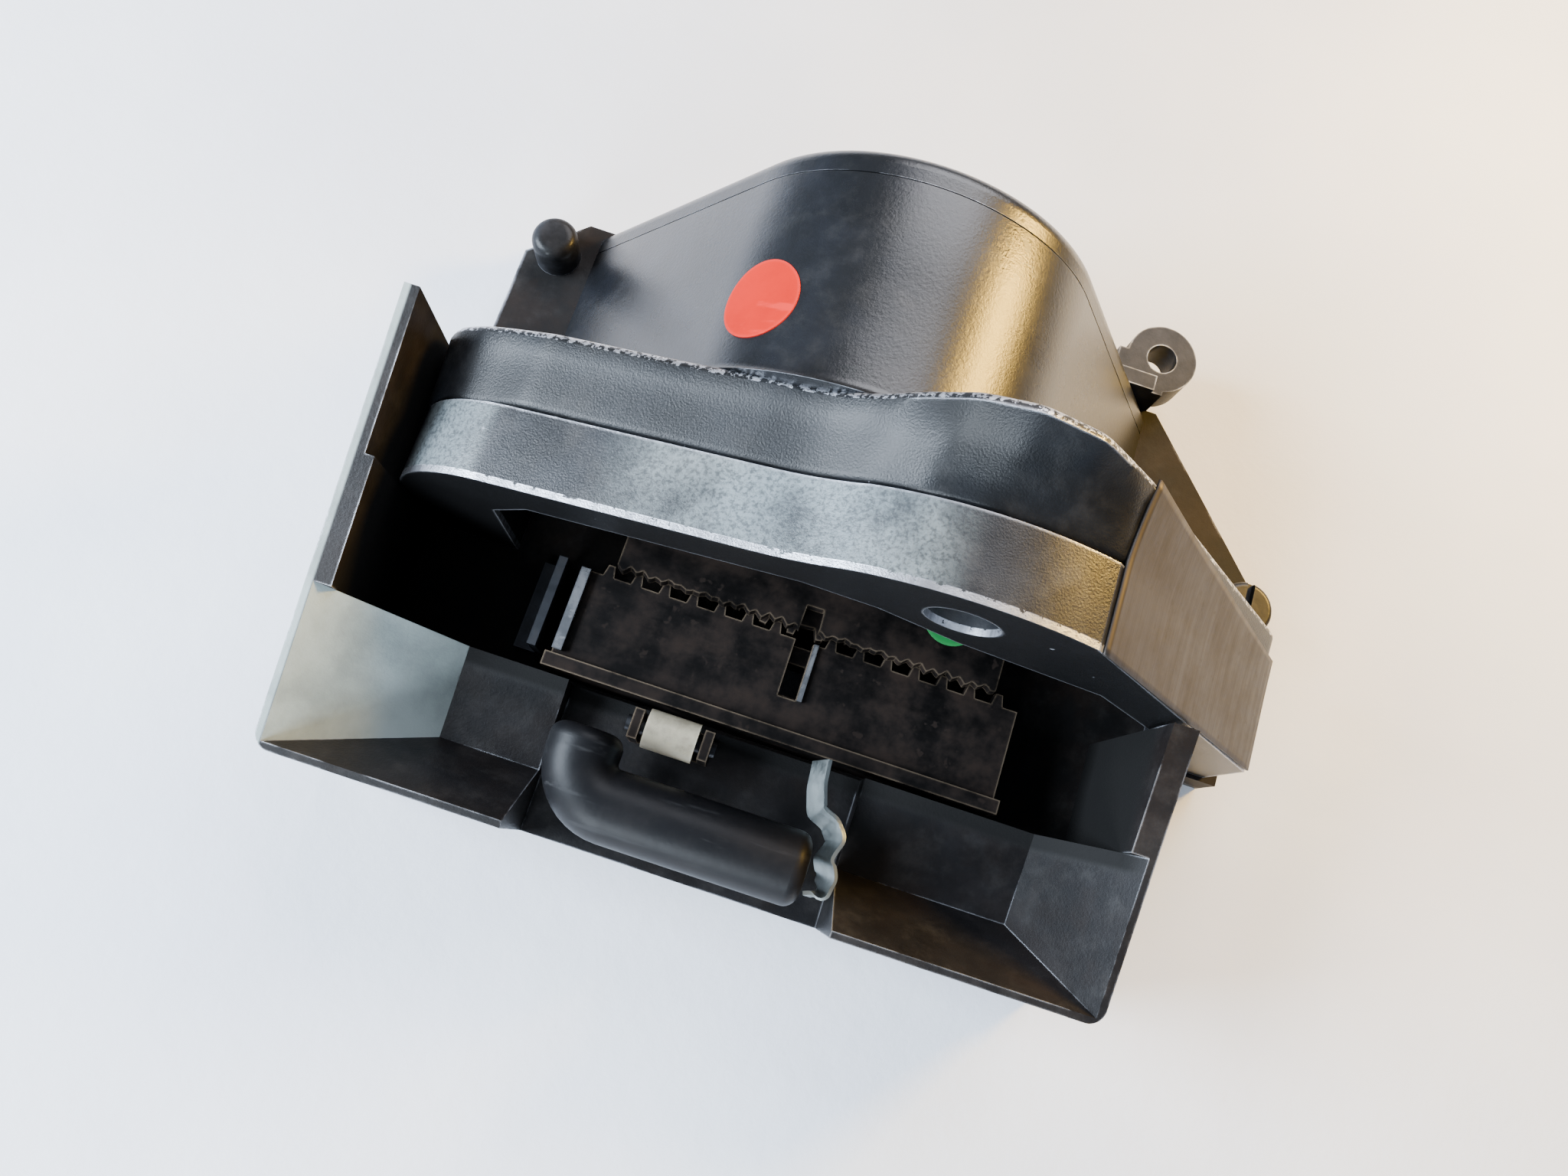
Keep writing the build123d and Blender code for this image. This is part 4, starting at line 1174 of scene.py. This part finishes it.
# --------------------------------------------------------------- CAD nodes
class CadLook:
    """Gives the CAD nodes that stay visible their finishes and soft edges."""

    looks: dict[Finish, tuple[str, ...]] = {
        # the inner plates take the darker inside enamel as painted shade
        PAINT_INSIDE_SHADED: ("back_plate", "port_frame"),
        PAINT_MOUTH: ("mouth_frame",),
        PAINT_COVER: ("front_cover",),
        PAINT_DRUM: ("end_cap",),
        PAINT_LUG: ("right_lug", "left_lug"),
        STEEL_DARK: ("shutter_plate", "toothed_sector", "port_plate", "guide_rail", "roller_bracket"),
        STEEL_GREY: ("stop_strip", "roller_pin", "bar_stems"),
        STEEL_BRIGHT: ("shutter_edge",),
        BRASS: ("lower_bush", "upper_bush", "coil_hub"),
        BIMETAL: ("bimetal_coil",),
        RUBBER: ("back_gasket",),
        BAR_PLASTIC: ("finger_bar",),
        NYLON: ("nylon_roller",),
        KNOB_PLASTIC: ("setting_knob",),
        RED: ("red_dot",),
    }
    edges: dict[str, float] = {
        "mouth_frame": 0.35, "front_cover": 0.55, "right_lug": 0.5, "setting_knob": 0.2,
        "shutter_plate": 0.12, "guide_rail": 0.12, "back_plate": 0.4, "roller_bracket": 0.15,
        "nylon_roller": 0.3,
    }

    def dress(self, nodes: dict[str, bpy.types.Object], finishes: Finishes) -> None:
        """Put one finish on each node, plain steel where none is named.

        Args:
            nodes: The frame's objects by node name.
            finishes: The material maker.
        """
        chosen = {name: finish for finish, names in self.looks.items() for name in names}
        for name, obj in nodes.items():
            obj.data.materials.clear()
            obj.data.materials.append(finishes.make(chosen.get(name, STEEL)))
            if name in self.edges:
                bevelled(obj, self.edges[name])
            log.info("dressed %s", name)


# -------------------------------------------------------------------- studio
@dataclass(frozen=True)
class Lamp:
    """Square area light; lengths in mm, power in watts."""

    name: str
    place: Point
    target: Point
    size: float
    power: float
    colour: Colour

    def build(self) -> None:
        """Put the light in the scene, aimed at its target."""
        data = bpy.data.lights.new(self.name, "AREA")
        data.size = self.size * MM
        data.energy = self.power
        data.color = self.colour
        obj = bpy.data.objects.new(self.name, data)
        obj.location = Vector(self.place) * MM
        aim = (Vector(self.target) - Vector(self.place)).normalized()
        obj.rotation_euler = aim.to_track_quat("-Z", "Y").to_euler()
        bpy.context.scene.collection.objects.link(obj)


@dataclass
class Studio:
    """Floor, lights, world and a camera above the mouth, rolled to one side."""

    lens: float = 26.0
    sensor: float = 36.0
    camera_place: Point = (0.75, 4.0, 126.0)
    camera_right: Point = (0.9489, 0.3069, 0.0737)
    camera_up: Point = (-0.3156, 0.9227, 0.2215)
    floor_half: float = 1500.0
    floor_z: float = -0.05
    sky_colour: Colour = (0.62, 0.70, 0.82)
    sky_strength: float = 0.30
    lamps: tuple[Lamp, ...] = (
        Lamp("window", (-330, -40, 230), (0, 30, 15), 220, 7.5, (0.76, 0.87, 1.0)),
        Lamp("front", (-90, -330, 190), (0, 25, 20), 170, 3.4, (0.80, 0.90, 1.0)),
        Lamp("lamp", (150, 150, 125), (5, 50, 30), 46, 1.3, (1.0, 0.60, 0.12)),
        Lamp("sky", (60, 420, 360), (0, 60, 0), 320, 3.6, (0.92, 0.93, 1.0)),
    )

    def camera(self) -> None:
        """Place the camera by its own right and up directions."""
        cam = bpy.data.cameras.new("camera")
        cam.sensor_width = self.sensor
        cam.lens = self.lens
        cam.clip_start = 5 * MM
        obj = bpy.data.objects.new("camera", cam)
        right = Vector(self.camera_right).normalized()
        back = right.cross(Vector(self.camera_up)).normalized()
        turn = Matrix((right, back.cross(right), back)).transposed().to_4x4()
        obj.matrix_world = Matrix.Translation(Vector(self.camera_place) * MM) @ turn
        bpy.context.scene.collection.objects.link(obj)
        bpy.context.scene.camera = obj

    def floor(self, finishes: Finishes) -> None:
        """Plain pale floor with a faint paper grain."""
        h, z = self.floor_half, self.floor_z
        obj = mesh_object("floor", np.array([(-h, -h, z), (h, -h, z), (h, h, z), (-h, h, z)]), [(0, 1, 2, 3)])
        mat, n, bsdf = finishes.start("floor_paper")
        tone = n.ramp(n.noise(18, 4, 0.5), 0.3, 0.7)
        n.link(n.mix(tone, (0.60, 0.62, 0.68), (0.70, 0.71, 0.75)), bsdf.inputs["Base Color"])
        bsdf.inputs["Roughness"].default_value = 0.7
        finishes.bump(n, bsdf, n.noise(220, 5, 0.6), 0.12, 0.001)
        obj.data.materials.append(mat)
        obj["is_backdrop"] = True

    def lights(self) -> None:
        """Cool window light from the left front, warm lamp from the right, soft sky."""
        for lamp in self.lamps:
            lamp.build()
        world = bpy.data.worlds.new("studio")
        bpy.context.scene.world = world
        world.use_nodes = True
        sky = world.node_tree.nodes["Background"]
        sky.inputs[0].default_value = (*self.sky_colour, 1.0)
        sky.inputs[1].default_value = self.sky_strength

    def build(self, finishes: Finishes) -> None:
        """Make the floor, the lights and the camera."""
        self.floor(finishes)
        self.lights()
        self.camera()


def write_sizes(before: Sequence[Sequence[float]], after: Sequence[Sequence[float]]) -> None:
    """Turn the CAD box and the finished box into plain lists.

    Args:
        before: Corners of the CAD box.
        after: Corners of the finished box.
    """
    plain = [np.asarray(b, float).tolist() for b in (before, after)]


def main() -> None:
    """Build everything in order."""
    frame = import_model()
    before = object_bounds()
    finishes = Finishes()
    CadLook().dress(frame["nodes"], finishes)
    Housing().build(finishes)
    SmallParts().build(finishes)
    Studio().build(finishes)
    write_sizes(before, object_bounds())
    log.info("scene complete")


if __name__ == "__main__":
    main()
